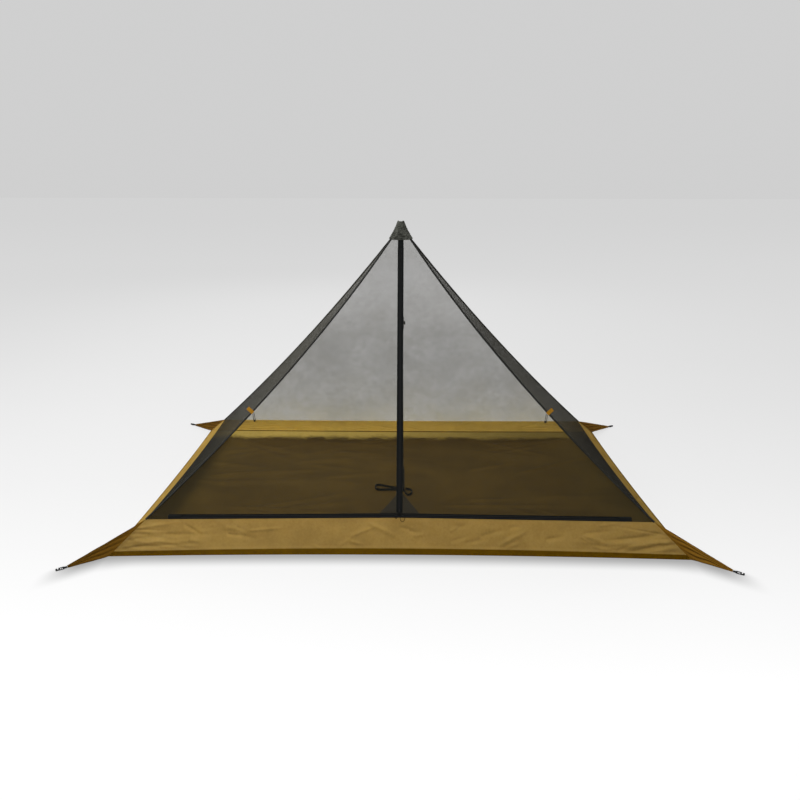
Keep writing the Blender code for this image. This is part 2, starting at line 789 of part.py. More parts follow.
def add_crown(slider, along_travel):
    """The arch on a slider's face; its eye runs across the arch, and the pull hangs in it."""
    face = SLIDER_THROAT / 2 + SLIDER_PLATE
    metal = slider.data.materials[0]
    arch = (CROWN_LENGTH / 2, CROWN_WIDTH / 2)
    eye = (CROWN_EYE_LENGTH / 2, CROWN_WIDTH)
    if not along_travel:
        arch = (arch[1], arch[0])
        eye = (eye[1], eye[0])
    low = face - CROWN_ROOT
    crown = add_box(slider.name + "_crown", (-arch[0], -arch[1], low), (*arch, face + CROWN_HEIGHT), metal)
    low = face + CROWN_ROOT / 2
    hole = add_box(slider.name + "_eye", (-eye[0], -eye[1], low), (*eye, face + CROWN_EYE_HEIGHT), metal)
    for helper in (crown, hole):
        helper.parent = slider
    apply_boolean(slider, crown, "UNION")
    apply_boolean(slider, hole, "DIFFERENCE")


def crown_eye_out():
    """Distance of the crown eye's middle out of the zip's plane."""
    return SLIDER_THROAT / 2 + SLIDER_PLATE + (CROWN_EYE_HEIGHT + CROWN_ROOT / 2) / 2


def pull_hang(eye, length):
    """The direction from an eye to the point of a pull that rests just above the front wall."""
    fall = Vector((0, WALL_LEAN_SHORT - FRONT_FLOOR_BOW + SILL_INSET, WALL_HEIGHT)).normalized() * -1
    wall_out = Vector((0, fall.z, -fall.y))
    foot = front_point(RIGHT, abs(eye.x), WALL_HEIGHT)
    above = (eye - foot).dot(wall_out) - WALL_CLOTH / 2 - PULL_CORD / 2 - PULL_REST_GAP
    slope = math.asin(above / length)
    return fall * math.cos(slope) - wall_out * math.sin(slope)


def make_pull(name, eye, hang, length, width, material):
    """A closed cord loop that hangs from a slider's eye."""
    points = []
    for step in range(PULL_STEPS):
        angle = 2 * math.pi * step / PULL_STEPS
        drop = length * (1 - math.cos(angle)) / 2
        points.append(eye + hang * drop + Vector((width / 2 * math.sin(angle), 0, 0)))
    add_cord(name, points, PULL_CORD, material, closed=True)


def make_door_slider(materials):
    """The slider of the door zip, parked above the sill, and its small pull."""
    up, out = front_frame(RIGHT, SILL_SLIDER_PLACE, WALL_HEIGHT, DOOR_TOP)[1:]
    middle = front_point(RIGHT, 0, door_slider_middle())
    up = Vector((0, up.y, up.z)).normalized()
    out = Vector((0, -up.z, up.y))
    slider = make_slider("door_slider", materials["zip_metal"])
    add_crown(slider, True)
    place_at(slider, middle, up, Vector((-1, 0, 0)), out)
    eye = middle + out * crown_eye_out()
    make_pull("door_pull", eye, -up, SMALL_PULL_LENGTH, SMALL_PULL_WIDTH, materials["webbing"])


def make_sill_sliders(materials):
    """The two sliders of the sill zip, parked each side of the middle, and their pulls."""
    chain = upper_sill_start() - SILL_POST_RISE / 2
    for side, length, width in ((LEFT, SMALL_PULL_LENGTH, SMALL_PULL_WIDTH), (RIGHT, RING_PULL_LENGTH, RING_PULL_WIDTH)):
        along, up, out = front_frame(side, SILL_ZIP_HALF_LENGTH / 2, WALL_HEIGHT + CLEARANCE, sill_zip_top())
        middle = front_point(side, SILL_SLIDER_PLACE, chain)
        slider = make_slider(SIDE_NAMES[side] + "_sill_slider", materials["zip_metal"])
        add_crown(slider, False)
        place_at(slider, middle, along, up, out)
        eye = middle + out * crown_eye_out()
        hang = pull_hang(eye, length)
        make_pull(SIDE_NAMES[side] + "_sill_pull", eye, hang, length, width, materials["webbing"])


def cap_ring(height, half_length, half_width, roundness):
    """One level of the cap: a rounded rectangle that becomes an ellipse as roundness nears 1."""
    ring = []
    for step in range(CAP_STEPS):
        angle = 2 * math.pi * step / CAP_STEPS
        cosine = math.cos(angle)
        sine = math.sin(angle)
        x = half_length * math.copysign(abs(cosine)**roundness, cosine)
        y = half_width * math.copysign(abs(sine)**roundness, sine)
        ring.append(Vector((x, y, height)))
    return ring


def make_cap(materials):
    """The peak cap, open below, with a thick crown that the pole's tip pushes against."""
    corner = ridge_corner(FRONT_BOW_SHARE, RIM_HEIGHT)
    rim_length = corner.x + RIDGE_BINDING / 2
    rim_width = corner.y + RIDGE_BINDING / 2
    outer = []
    inner = []
    for share in even(0, 1, CAP_LEVELS):
        height = mix(RIM_HEIGHT, NECK_HEIGHT, share)
        squareness = mix(RIM_SQUARE_SHARE, NECK_SQUARE_SHARE, share)
        flare = share**CAP_FLARE_SHARE
        length = mix(rim_length, NECK_HALF_WIDTH, flare)
        width = mix(rim_width, NECK_HALF_WIDTH, flare)
        outer.append(cap_ring(height, length, width, squareness))
        inner.append(cap_ring(height, length - CAP_CLOTH, width - CAP_CLOTH, squareness))
    outer.append(cap_ring(PEAK_HEIGHT, CROWN_HALF_WIDTH, CROWN_HALF_WIDTH, NECK_SQUARE_SHARE))
    ceiling = CROWN_HALF_WIDTH - CAP_CLOTH
    inner.append(cap_ring(PEAK_HEIGHT - CAP_CEILING, ceiling, ceiling, NECK_SQUARE_SHARE))
    rings = list(reversed(inner)) + outer
    add_loft("peak_cap", rings, materials["cap_cloth"])


def corner_frame(side, end):
    """A corner's tie-out point on the ground, and the directions out from it and across it."""
    outward = Vector((side * TIP_REACH_LONG, end * TIP_REACH_SHORT, 0))
    floor_corner = Vector((side * FLOOR_LENGTH / 2, end * FLOOR_WIDTH / 2, 0))
    return floor_corner + outward, outward.normalized(), Vector((-outward.y, outward.x, 0)).normalized()


def wall_corner(side, end, height):
    """A corner of the bathtub walls at a height."""
    half_length, half_width = wall_half_size(height)
    return Vector((side * half_length, end * half_width, height))


def make_gusset(side, end, material):
    """The pleated ear of cloth from a bathtub corner out to its tie-out point."""
    tip, outward, across = corner_frame(side, end)
    seam = outward * (WALL_CLOTH + CLEARANCE)
    foot = wall_corner(side, end, GUSSET_LIFT) + seam
    head = wall_corner(side, end, WALL_HEIGHT - GUSSET_LIFT) + seam
    low_tip = tip + Vector((0, 0, GUSSET_LIFT))
    high_tip = low_tip + Vector((0, 0, GUSSET_TIP_HEIGHT))
    sheets = []
    for face in (1, -1):
        rows = []
        for reach in even(0, 1, GUSSET_STEPS):
            depth = mix(PLEAT_DEPTH, TIP_PLEAT_DEPTH, reach) * min(1, reach * GUSSET_STEPS)
            row = []
            for fold in range(2 * PLEATS + 1):
                share = fold / (2 * PLEATS)
                place = mix(mix(foot, head, share), mix(low_tip, high_tip, share), reach)
                zigzag = depth / 2 if fold % 2 else -depth / 2
                row.append(place + across * (zigzag + face * GUSSET_CLOTH / 2))
            rows.append(row)
        sheets.append(rows)
    add_shell("gusset_" + END_NAMES[end] + "_" + SIDE_NAMES[side], sheets[0], sheets[1], material)


def eye_arc(outward, centre, radius, start, finish):
    """Points of an arc, between two angles in degrees, in the upright plane of a corner."""
    points = []
    for degrees in even(start, finish, EYE_STEPS):
        angle = math.radians(degrees)
        points.append(centre + outward * (radius * math.cos(angle)) + Vector((0, 0, radius * math.sin(angle))))
    return points


def first_bar(side, end):
    """The middle of the buckle bar that sits in the webbing's eye."""
    tip, outward, across = corner_frame(side, end)
    return tip + outward * WEBBING_REACH + Vector((0, 0, HARDWARE_HEIGHT))


def last_bar(side, end):
    """The middle of the buckle bar that carries the hook."""
    outward = corner_frame(side, end)[1]
    return first_bar(side, end) + outward * (BUCKLE_FIRST_WINDOW + BUCKLE_SECOND_WINDOW + 2 * BUCKLE_BAR)


def make_webbing(side, end, material):
    """A tape from the gusset's tip, folded round the buckle's first bar and sewn back on itself."""
    tip, outward, across = corner_frame(side, end)
    bar = first_bar(side, end)
    radius = BAR_EYE_RADIUS + WEBBING_THICKNESS / 2
    seam = Vector((0, 0, WEBBING_THICKNESS / 2 + CLEARANCE / 2))
    root = tip + outward * (GUSSET_LIFT + CLEARANCE) + Vector((0, 0, HARDWARE_HEIGHT))
    neck = bar - outward * (2 * radius)
    path = [root - seam, neck - seam]
    path += eye_arc(outward, bar, radius, -EYE_TURN_DEGREES, EYE_TURN_DEGREES)
    path += [neck + seam, root + seam]
    name = "webbing_" + END_NAMES[end] + "_" + SIDE_NAMES[side]
    add_ribbon(name, path, across * WEBBING_WIDTH, WEBBING_THICKNESS, material)


def make_buckle(side, end, material):
    """A ladder-lock buckle: three bars between two rails."""
    outward, across = corner_frame(side, end)[1:]
    half_bar = BUCKLE_BAR / 2
    half_width = BUCKLE_WIDTH / 2
    half_thickness = BUCKLE_THICKNESS / 2
    first_end = half_bar + BUCKLE_FIRST_WINDOW
    second_start = first_end + BUCKLE_BAR
    second_end = second_start + BUCKLE_SECOND_WINDOW
    length = second_end + BUCKLE_BAR
    name = "buckle_" + END_NAMES[end] + "_" + SIDE_NAMES[side]
    frame = add_box(name, (-half_bar, -half_width, -half_thickness), (length, half_width, half_thickness), material)
    opening = half_width - BUCKLE_RAIL
    cut = half_thickness + CUT_OVERRUN
    for start, finish in ((half_bar, first_end), (second_start, second_end)):
        window = add_box(name + "_window", (start, -opening, -cut), (finish, opening, cut), material)
        window.parent = frame
        apply_boolean(frame, window, "DIFFERENCE")
    place_at(frame, first_bar(side, end), outward, across, Vector((0, 0, 1)))


def make_hook(side, end, material):
    """A hook whose open eye rides on the buckle's last bar and whose mouth takes a stake loop."""
    outward, across = corner_frame(side, end)[1:]
    bar = last_bar(side, end)
    radius = BAR_EYE_RADIUS + HOOK_THICKNESS / 2
    mouth_radius = HOOK_MOUTH_RADIUS + HOOK_THICKNESS / 2
    mouth = bar + outward * (radius + HOOK_SHANK) + Vector((0, 0, mouth_radius - radius))
    path = eye_arc(outward, bar, radius, HOOK_EYE_START_DEGREES, HOOK_EYE_END_DEGREES)
    path += eye_arc(outward, mouth, mouth_radius, HOOK_MOUTH_START_DEGREES, EYE_TURN_DEGREES)
    name = "hook_" + END_NAMES[end] + "_" + SIDE_NAMES[side]
    add_ribbon(name, path, across * HOOK_WIDTH, HOOK_THICKNESS, material)


def make_corners(materials):
    """Gusset, webbing, buckle and hook at each of the four corners."""
    for end in (FRONT, REAR):
        for side in (LEFT, RIGHT):
            make_gusset(side, end, materials["gusset_cloth"])
            make_webbing(side, end, materials["webbing"])
            make_buckle(side, end, materials["moulded"])
            make_hook(side, end, materials["moulded"])


def tie_frame(side):
    """A tie-back's place on its ridge, and the directions up the ridge, off it and out of the front."""
    corner = ridge_corner(FRONT_BOW_SHARE, TIE_HEIGHT)
    above = ridge_corner(FRONT_BOW_SHARE, TIE_HEIGHT + TIE_TAB_WIDTH)
    ridge = Vector((side * corner.x, -corner.y, TIE_HEIGHT))
    run = (Vector((side * above.x, -above.y, TIE_HEIGHT + TIE_TAB_WIDTH)) - ridge).normalized()
    out = front_frame(side, TIE_BUTTON_ACROSS, TIE_BUTTON_HEIGHT, TIE_HEIGHT)[2]
    off = run.cross(out).normalized()
    if off.x * side < 0:
        off = -off
    return ridge, run, off, out


def make_tie_tab(side, material):
    """The stiff tape that is sewn across a front ridge and stands off it."""
    ridge, run, off, out = tie_frame(side)
    lift = RIDGE_BINDING / 2 + TIE_TAB_THICKNESS / 2 + TIE_TAB_LIFT
    path = [ridge + off * reach + out * (lift + bend) for reach, bend in TIE_TAB_ROUTE]
    add_ribbon("tie_tab_" + SIDE_NAMES[side], path, run * TIE_TAB_WIDTH, TIE_TAB_THICKNESS, material)


def make_tie_button(side, material):
    """The grooved button that the tie-back's loop goes round."""
    out = tie_frame(side)[3]
    groove = TIE_BUTTON_FLANGE + 2 * TIE_CORD_GAP + TIE_CORD
    top = groove + TIE_BUTTON_FLANGE
    profile = [(0, 0), (TIE_BUTTON_RADIUS, 0), (TIE_BUTTON_RADIUS, TIE_BUTTON_FLANGE)]
    profile += [(TIE_BUTTON_WAIST, TIE_BUTTON_FLANGE), (TIE_BUTTON_WAIST, groove)]
    profile += [(TIE_BUTTON_RADIUS, groove), (TIE_BUTTON_RADIUS, top), (0, top)]
    button = add_turned("tie_toggle_" + SIDE_NAMES[side], profile, material)
    base = front_point(side, TIE_BUTTON_ACROSS, TIE_BUTTON_HEIGHT) + out * (MESH_CLOTH / 2 + TIE_BUTTON_LIFT)
    along = Vector((1, 0, 0)).cross(out).normalized()
    place_at(button, base, along.cross(out) * -1, along * -1, out)


def make_tie_loop(side, material):
    """The elastic loop from a tie-back's tape down round its button."""
    ridge, run, off, out = tie_frame(side)
    lift = MESH_CLOTH / 2 + TIE_BUTTON_LIFT + TIE_BUTTON_FLANGE + TIE_CORD_GAP + TIE_CORD / 2
    radius = TIE_BUTTON_WAIST + TIE_CORD_GAP + TIE_CORD / 2
    start = ridge - off * TIE_CORD_START + out * lift
    centre = front_point(side, TIE_BUTTON_ACROSS, TIE_BUTTON_HEIGHT) + out * lift
    down = (centre - start).normalized()
    apart = down.cross(out).normalized()
    if apart.dot(run) < 0:
        apart = -apart
    route = [start + run * radius, mix(start, centre, LEG_SHARE) + apart * radius]
    for degrees in even(EYE_TURN_DEGREES / 2, -EYE_TURN_DEGREES / 2, TIE_BEND_STEPS):
        angle = math.radians(degrees)
        route.append(centre + down * (radius * math.cos(angle)) + apart * (radius * math.sin(angle)))
    route += [mix(start, centre, LEG_SHARE) - apart * radius, start - run * radius]
    add_cord("tie_loop_" + SIDE_NAMES[side], smooth_route(route, TIE_CORD_POINTS), TIE_CORD, material)


def pole_matrix():
    """The pole's own frame: Z runs up its leaning axis from the foot."""
    foot = Vector((POLE_FOOT_ACROSS, POLE_FOOT_DEPTH, FLOOR_CLOTH + CLEARANCE + POLE_FOOT_LIFT))
    head = Vector((0, 0, PEAK_HEIGHT - CAP_CEILING - POLE_HEAD_GAP))
    axis = (head - foot).normalized()
    side = (Vector((1, 0, 0)) - axis * axis.x).normalized()
    turn = Matrix((side, axis.cross(side), axis)).transposed().to_4x4()
    return Matrix.Translation(foot) @ turn


def pole_length():
    """Length of the pole from its grip's end to its tip."""
    foot = Vector((POLE_FOOT_ACROSS, POLE_FOOT_DEPTH, FLOOR_CLOTH + CLEARANCE + POLE_FOOT_LIFT))
    return (Vector((0, 0, PEAK_HEIGHT - CAP_CEILING - POLE_HEAD_GAP)) - foot).length


def make_pole(materials):
    """The grip, the two tubes and the tip, all turned about the pole's axis."""
    socket = GRIP_LENGTH - GRIP_SOCKET
    bore = OUTER_TUBE_RADIUS + CLEARANCE
    profile = [(0, 0)] + GRIP_OUTLINE + [(GRIP_END_RADIUS, GRIP_LENGTH), (bore, GRIP_LENGTH), (bore, socket), (0, socket)]
    grip = add_turned("pole_grip", profile, materials["grip_foam"])
    start = socket + CLEARANCE
    profile = [(0, start), (OUTER_TUBE_RADIUS, start), (OUTER_TUBE_RADIUS, TUBE_JOINT_HEIGHT)]
    profile += [(OUTER_TUBE_BORE, TUBE_JOINT_HEIGHT), (OUTER_TUBE_BORE, start + TUBE_FLOOR), (0, start + TUBE_FLOOR)]
    outer_tube = add_turned("pole_outer_tube", profile, materials["carbon"])
    start = TUBE_JOINT_HEIGHT - INNER_TUBE_OVERLAP
    end = pole_length() - TIP_HEIGHT
    bore = TIP_SPIGOT_RADIUS + CLEARANCE
    seat = end - TIP_SPIGOT - CLEARANCE
    profile = [(0, start), (INNER_TUBE_RADIUS, start), (INNER_TUBE_RADIUS, end), (bore, end), (bore, seat), (0, seat)]
    inner_tube = add_turned("pole_inner_tube", profile, materials["carbon"])
    low = end + CLEARANCE
    spigot = end - TIP_SPIGOT
    profile = [(0, spigot), (TIP_SPIGOT_RADIUS, spigot), (TIP_SPIGOT_RADIUS, low), (INNER_TUBE_RADIUS, low)]
    profile += [(INNER_TUBE_RADIUS, low + TIP_SHOULDER), (TIP_END_RADIUS, pole_length()), (0, pole_length())]
    tip = add_turned("pole_tip", profile, materials["tip_metal"])
    for piece in (grip, outer_tube, inner_tube, tip):
        piece.matrix_world = pole_matrix()


def pin_hole(owner):
    """A helper that cuts the lock pin's hole through a piece of the pole lock."""
    reach = LUG_HEIGHT + LEVER_CHEEK
    profile = [(0, -reach), (PIN_HOLE_RADIUS, -reach), (PIN_HOLE_RADIUS, reach), (0, reach)]
    hole = add_turned(owner.name + "_hole", profile, owner.data.materials[0])
    hole.location = (PIN_PLACE, 0, LUG_MIDDLE)
    hole.parent = owner
    apply_boolean(owner, hole, "DIFFERENCE")


def make_pole_lock(materials):
    """The clamp round the joint of the two tubes, its lever and the lever's pin."""
    moulded = materials["moulded"]
    wide = OUTER_TUBE_RADIUS + CLEARANCE
    narrow = INNER_TUBE_RADIUS + CLEARANCE
    step = TUBE_JOINT_HEIGHT + CLEARANCE
    profile = [(wide, CLAMP_LOW), (CLAMP_RADIUS, CLAMP_LOW), (CLAMP_RADIUS, CLAMP_HIGH), (narrow, CLAMP_HIGH)]
    clamp = add_turned("pole_lock_clamp", profile + [(narrow, step), (wide, step)], moulded)
    half = LUG_HEIGHT / 2
    low = (LUG_ROOT, -LUG_WIDTH / 2, LUG_MIDDLE - half)
    lug = add_box("pole_lock_lug", low, (LUG_REACH, LUG_WIDTH / 2, LUG_MIDDLE + half), moulded)
    lug.parent = clamp
    apply_boolean(clamp, lug, "UNION")
    pin_hole(clamp)
    inner = PIN_PLACE - LEVER_THICKNESS / 2
    outer = PIN_PLACE + LEVER_THICKNESS / 2
    reach = half + CLEARANCE + LEVER_CHEEK
    high = (outer, LEVER_LENGTH, LUG_MIDDLE + reach)
    lever = add_box("pole_lock_lever", (inner, -LEVER_HUB, LUG_MIDDLE - reach), high, moulded)
    low = (inner - CUT_OVERRUN, -LEVER_SLOT, LUG_MIDDLE - half - CLEARANCE)
    high = (outer + CUT_OVERRUN, LEVER_SLOT, LUG_MIDDLE + half + CLEARANCE)
    slot = add_box("pole_lock_slot", low, high, moulded)
    slot.parent = lever
    apply_boolean(lever, slot, "DIFFERENCE")
    pin_hole(lever)
    end = reach + CLEARANCE
    head = end + PIN_HEAD
    profile = [(0, -head), (PIN_HEAD_RADIUS, -head), (PIN_HEAD_RADIUS, -end), (PIN_RADIUS, -end)]
    profile += [(PIN_RADIUS, end), (PIN_HEAD_RADIUS, end), (PIN_HEAD_RADIUS, head), (0, head)]
    pin = add_turned("pole_lock_pin", profile, materials["tip_metal"])
    for piece in (clamp, lever):
        piece.matrix_world = pole_matrix()
    pin.matrix_world = pole_matrix() @ Matrix.Translation((PIN_PLACE, 0, LUG_MIDDLE))


def make_wrist_strap(material):
    """The grip's strap, which lies in two loops on the floor."""
    height = FLOOR_CLOTH + CLEARANCE + STRAP_WIDTH / 2
    route = [(POLE_FOOT_ACROSS + x, POLE_FOOT_DEPTH + y, height) for x, y in STRAP_ROUTE]
    path = smooth_route(route, STRAP_POINTS)
    add_ribbon("wrist_strap", path, Vector((0, 0, STRAP_WIDTH)), STRAP_THICKNESS, material)


def make_floor_patch(material):
    """The reinforcement that widens from the pole's foot towards the front of the floor."""
    sheets = []
    for height in (PATCH_CLOTH, 0):
        rows = []
        for share in (0, 1):
            y = mix(PATCH_APEX, PATCH_FRONT, share)
            half = mix(PATCH_APEX_HALF_WIDTH, PATCH_HALF_WIDTH, share)
            level = FLOOR_CLOTH + CLEARANCE + height
            rows.append([Vector((-half, y, level)), Vector((half, y, level))])
        sheets.append(rows)
    add_shell("floor_patch", sheets[0], sheets[1], material)


def main():
    """Builds every piece of the tent in its place."""
    clear_scene()
    materials = make_materials()
    make_floor(materials)
    make_floor_patch(materials["patch_cloth"])
    make_walls(materials)
    make_ridges(materials)
    make_side_meshes(materials)
    make_rear_mesh(materials)
    make_front_margins(materials)
    make_front_top(materials)
    make_doors(materials)
    make_lower_sill_zip(materials["zip_tape"])
    make_door_slider(materials)
    make_sill_sliders(materials)
    make_cap(materials)
    make_corners(materials)
    for side in (LEFT, RIGHT):
        make_tie_tab(side, materials["tie_tape"])
        make_tie_button(side, materials["moulded"])
        make_tie_loop(side, materials["elastic"])
    make_pole(materials)
    make_pole_lock(materials)
    make_wrist_strap(materials["webbing"])


main()
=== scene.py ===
"""Dresses the pyramid mesh tent: cloth, netting, zips, corner fittings, pole and the stage."""

import math

import bpy
import numpy as np
from mathutils import Matrix, Vector


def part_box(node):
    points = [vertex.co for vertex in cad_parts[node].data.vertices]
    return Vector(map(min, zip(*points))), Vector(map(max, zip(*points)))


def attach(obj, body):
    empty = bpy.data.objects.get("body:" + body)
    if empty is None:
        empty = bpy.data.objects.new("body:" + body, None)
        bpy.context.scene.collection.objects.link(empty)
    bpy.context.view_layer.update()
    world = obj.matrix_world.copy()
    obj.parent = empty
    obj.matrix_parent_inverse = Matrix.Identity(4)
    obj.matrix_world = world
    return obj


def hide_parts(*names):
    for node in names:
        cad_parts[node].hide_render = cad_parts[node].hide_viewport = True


bl_info = {
    "name": "Pyramid mesh tent",
    "version": (1, 0, 0),
    "blender": (4, 5, 0),
    "location": "View3D > Sidebar > Tent",
    "description": "Makes the cloth, netting, zips and fittings of a one-pole pyramid tent",
    "category": "Add Mesh",
}

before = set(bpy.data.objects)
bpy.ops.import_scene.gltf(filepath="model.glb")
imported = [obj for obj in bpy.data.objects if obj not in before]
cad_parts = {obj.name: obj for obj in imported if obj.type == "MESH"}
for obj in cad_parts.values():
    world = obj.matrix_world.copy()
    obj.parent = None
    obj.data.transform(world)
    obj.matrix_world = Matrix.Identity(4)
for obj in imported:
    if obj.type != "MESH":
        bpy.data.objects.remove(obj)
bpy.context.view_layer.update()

# Plan and heights that the cloth follows, in metres
FLOOR_HALF_LENGTH = 1.20
FLOOR_HALF_WIDTH = 0.71
WALL_HEIGHT = 0.1137
WALL_LEAN_LONG = 0.127
WALL_LEAN_SHORT = 0.106
FRONT_FLOOR_BOW = 0.025
REAR_FLOOR_BOW = 0.012
SIDE_FLOOR_BOW = 0.012
SILL_INSET = 0.026
REAR_TOP_BOW = 0.010
SIDE_TOP_BOW = 0.012
RIM_HEIGHT = 1.219
RIM_HALF_LENGTH = 0.0493
RIM_HALF_WIDTH = 0.0300
FRONT_BOW_SHARE = 0.0585
REAR_BOW_SHARE = 0.0325
SILL_ZIP_TOP = 0.1294
DOOR_TOP = 1.190
HINGE_FOOT = 0.925
HINGE_HEAD = 0.040
SEAM_GAP = 0.0043
PEAK_HEIGHT = 1.303
UNDER_CAP = 0.013
TIP_REACH_LONG = 0.126
TIP_REACH_SHORT = 0.0825
HARDWARE_HEIGHT = 0.0046
POLE_FOOT = (0.009, -0.095, 0.0023)
POLE_HEAD = (0.0, 0.0, 1.2922)

# Finishes: relief depths and the places where a finish changes, in metres
THREAD_RELIEF = 0.0002
RIB_RELIEF = 0.0003
NET_RELIEF = 0.003
STITCH_LENGTH = 0.0030
COIL_REACH = 0.0026
OFF_THE_TAPE = 0.5
TAPE_ROUGHNESS = 0.75
HEM_BLUR = 0.003
HEM_PALE_START = 0.004
HEM_PALE_REACH = 0.016
HEM_STITCH_ROWS = (-0.0015, 0.0045)
SEAM_HEIGHT = 0.014
# Where the floor's rim has its painted glow
RIM_GLOW_REAR = (0.560, 0.640)
RIM_GLOW_SIDE = (0.75, 1.20)
NET_STRETCH_HEIGHTS = (0.70, 1.10)
# Heights between which the netting's painted shade grows, going down
NET_PAINTED_SHADE_HEIGHTS = (0.60, 0.12)
NET_SPREAD = 0.03
LEAST_COSINE = 0.17
# The painted light attribute's even value, neither paler nor darker
EVEN_PAINTED_LIGHT = 0.5
BLACK = (0, 0, 0, 1)

# Floor, patch and walls: edges, middle levels and the rise over which the floor's painted light and shade
# change, in metres
FLOOR_INSET = 0.0012
FLOOR_LEVEL = 0.0008
FLOOR_PAINTED_LIGHT_RISE = 0.0022
PATCH_ENDS = (-0.135, -0.420)
PATCH_HALF_WIDTHS = (0.012, 0.122)
PATCH_LEVEL = 0.0020
WALL_FOOT = 0.0004
WALL_TRIM = 0.0006

# Corners: the gussets' pleats and tips, and the tie-out tapes, in metres
PLEAT_DEPTHS = (0.0085, 0.0016)
GUSSET_SEAM = 0.0006
GUSSET_TIP = 0.0106
WEBBING_START = 0.0009
BUCKLE_BAR = 0.0140
WEBBING_RADIUS = 0.0022 + 0.00055
WEBBING_APART = 0.0007

# Peak cap: levels and half widths from rim to crown, the rim's lobes, and the crown, in metres
CAP_LEVELS = (0.0, 0.77, 1.0)
CAP_POWERS = (0.30, 0.85, 0.95)
CAP_HALF_LENGTHS = (RIM_HALF_LENGTH + 0.0040, 0.0225, 0.0158)
CAP_HALF_WIDTHS = (RIM_HALF_WIDTH + 0.0040, 0.0225, 0.0158)
CAP_THICKNESS = 0.0014
CAP_CEILING = 1.2928
CAP_CREASE = 0.0018
CAP_LOBE = 0.0075
CAP_RIM_DROP = 0.0020
CAP_SCALLOP = 0.0008
CAP_TRIM = 0.0008
CROWN_HALF_WIDTH = 0.0155
CROWN_BUMP = 0.0034
CROWN_DIP = 0.0006

# Pole grip: its length, its bore for the tube, and its ribs, in metres
GRIP_LENGTH = 0.125
GRIP_BORE = 0.0089
GRIP_FLOOR = 0.106
AXIS_GAP = 0.0004
RIBS_FROM = 0.018
RIBS_TO = 0.112
RIB_PITCH = 0.0075
RIB_HEIGHT = 0.0004

# Sewing: edges' gaps, cloth and tape thicknesses, and widths, in metres
EDGE_GAP = 0.0003
TIGHT_GAP = 0.0002
PATCH_CLOTH = 0.0007
GUSSET_CLOTH = 0.0012
THIN_TAPE = 0.0008
BACKING_TAPE = 0.0005
FOLDED_TAPE = 0.0010
RIDGE_TAPE = (0.0095, 0.0042)
WEBBING_WIDTH = 0.0120
STRAP_THICKNESS = 0.0030
STRAP_MIDDLE = 0.0076
TAB_WIDTH = 0.0160
LOOP_CORD = 0.0024
PULL_CORDS = {"door_pull": 0.0034, "left_sill_pull": 0.0018, "right_sill_pull": 0.0018}

# Zips: coil and tape widths, where each runs, and the backing tapes, in metres
DOOR_ZIP_WIDTHS = (0.0025, 0.0080)
SILL_ZIP_WIDTHS = (0.0022, 0.0039)
DOOR_ZIP_GAP = 0.0010
DOOR_ZIP_FOOT = 0.1417
DOOR_NET_EDGE = 0.0118
SILL_UPPER_EDGE = 0.1233
SILL_LOWER_EDGE = 0.1201
SILL_LOWER_FOOT = 0.1140
SILL_HALF_LENGTH = 0.980
SILL_ZIP_START = 0.0198
SILL_COIL_RUN = 0.905
BACKING_DEPTH = 0.0036
BACKING_BEND = 0.0030
BACKING_HALF_WIDTH = 0.0135
HEAD_HALF_WIDTH = 0.0130
HEAD_FORWARDS = 0.0012
SILL_BACKING_HALF_LENGTH = 0.978
SILL_BACKING_HEIGHTS = (0.1142, 0.1292)

# Tie-backs: distance from the middle, heights of the button and its cloth, and the ridge's tape
TIE_ACROSS = 0.634
TIE_BUTTON_HEIGHT = 0.479
TIE_CLOTH_HEIGHT = 0.496
TIE_RIDGE_HEIGHTS = (0.513, 0.529)
TIE_REACH = 0.0083
TIE_TAPE_LIFT = 0.0049
BUTTON_BASE = 0.0006 + 0.0004 + 0.0009
BUTTON_WAIST = 0.0020
SMALL_GAP = 0.00025

# Camera: its place, its lens in pixels of an 800-pixel picture, and its turns in radians
CAMERA_PLACE = (0.02047, -2.90239, 1.42644)
CAMERA_PIXELS = 615.71
PICTURE_PIXELS = 800
CAMERA_AIM = 0.0079
CAMERA_DIP = 0.32516
CAMERA_ROLL = 0.00171

# Stage: its half length, where its tone is reckoned from, and its tones by steepness of view, a painted
# falloff of light
STAGE_REACH = 160.0
VIEW_DISTANCE = 2.902
VIEW_HEIGHT = 1.426
STAGE_PAINTED_FALLOFF = (
    (0.0, 0.716), (0.035, 0.726), (0.085, 0.762), (0.135, 0.772), (0.21, 0.781),
    (0.27, 0.802), (0.39, 0.869), (0.52, 0.958), (0.60, 1.008), (0.75, 1.08))
STAGE_PALE_AGAIN = (-3.0, -12.0)
STAGE_BRIGHTEST = 1.1
STAGE_STEADY = 0.80
ROOM_LIGHT = 0.45
ROOM_SEEN = 0.178

LEFT, RIGHT = -1, 1
FRONT, REAR = -1, 1
SIDES = ((LEFT, "left"), (RIGHT, "right"))
CORNERS = tuple(
    (end, side, end_name + "_" + side_name)
    for end, end_name in ((FRONT, "front"), (REAR, "rear")) for side, side_name in SIDES)


def mix(start, end, share):
    """start plus share of the way to end, for numbers or whole arrays."""
    return start + (end - start) * share


def grid(rows, columns):
    """Two arrays of shares from 0 to 1: down the rows, and across the columns."""
    return np.meshgrid(np.linspace(0, 1, rows), np.linspace(0, 1, columns), indexing="ij")


def ripple(places, waves, seed):
    """A smooth uneven wave: the sum of sines over the places, each with its own phase and size.

    waves is a list of (cycles along first, cycles along second, size)."""
    chance = np.random.default_rng(seed)
    first, second = places
    total = np.zeros_like(first)
    for along, across, size in waves:
        phase = chance.uniform(0, 2 * np.pi)
        total = total + size * np.sin(2 * np.pi * (along * first + across * second) + phase)
    return total


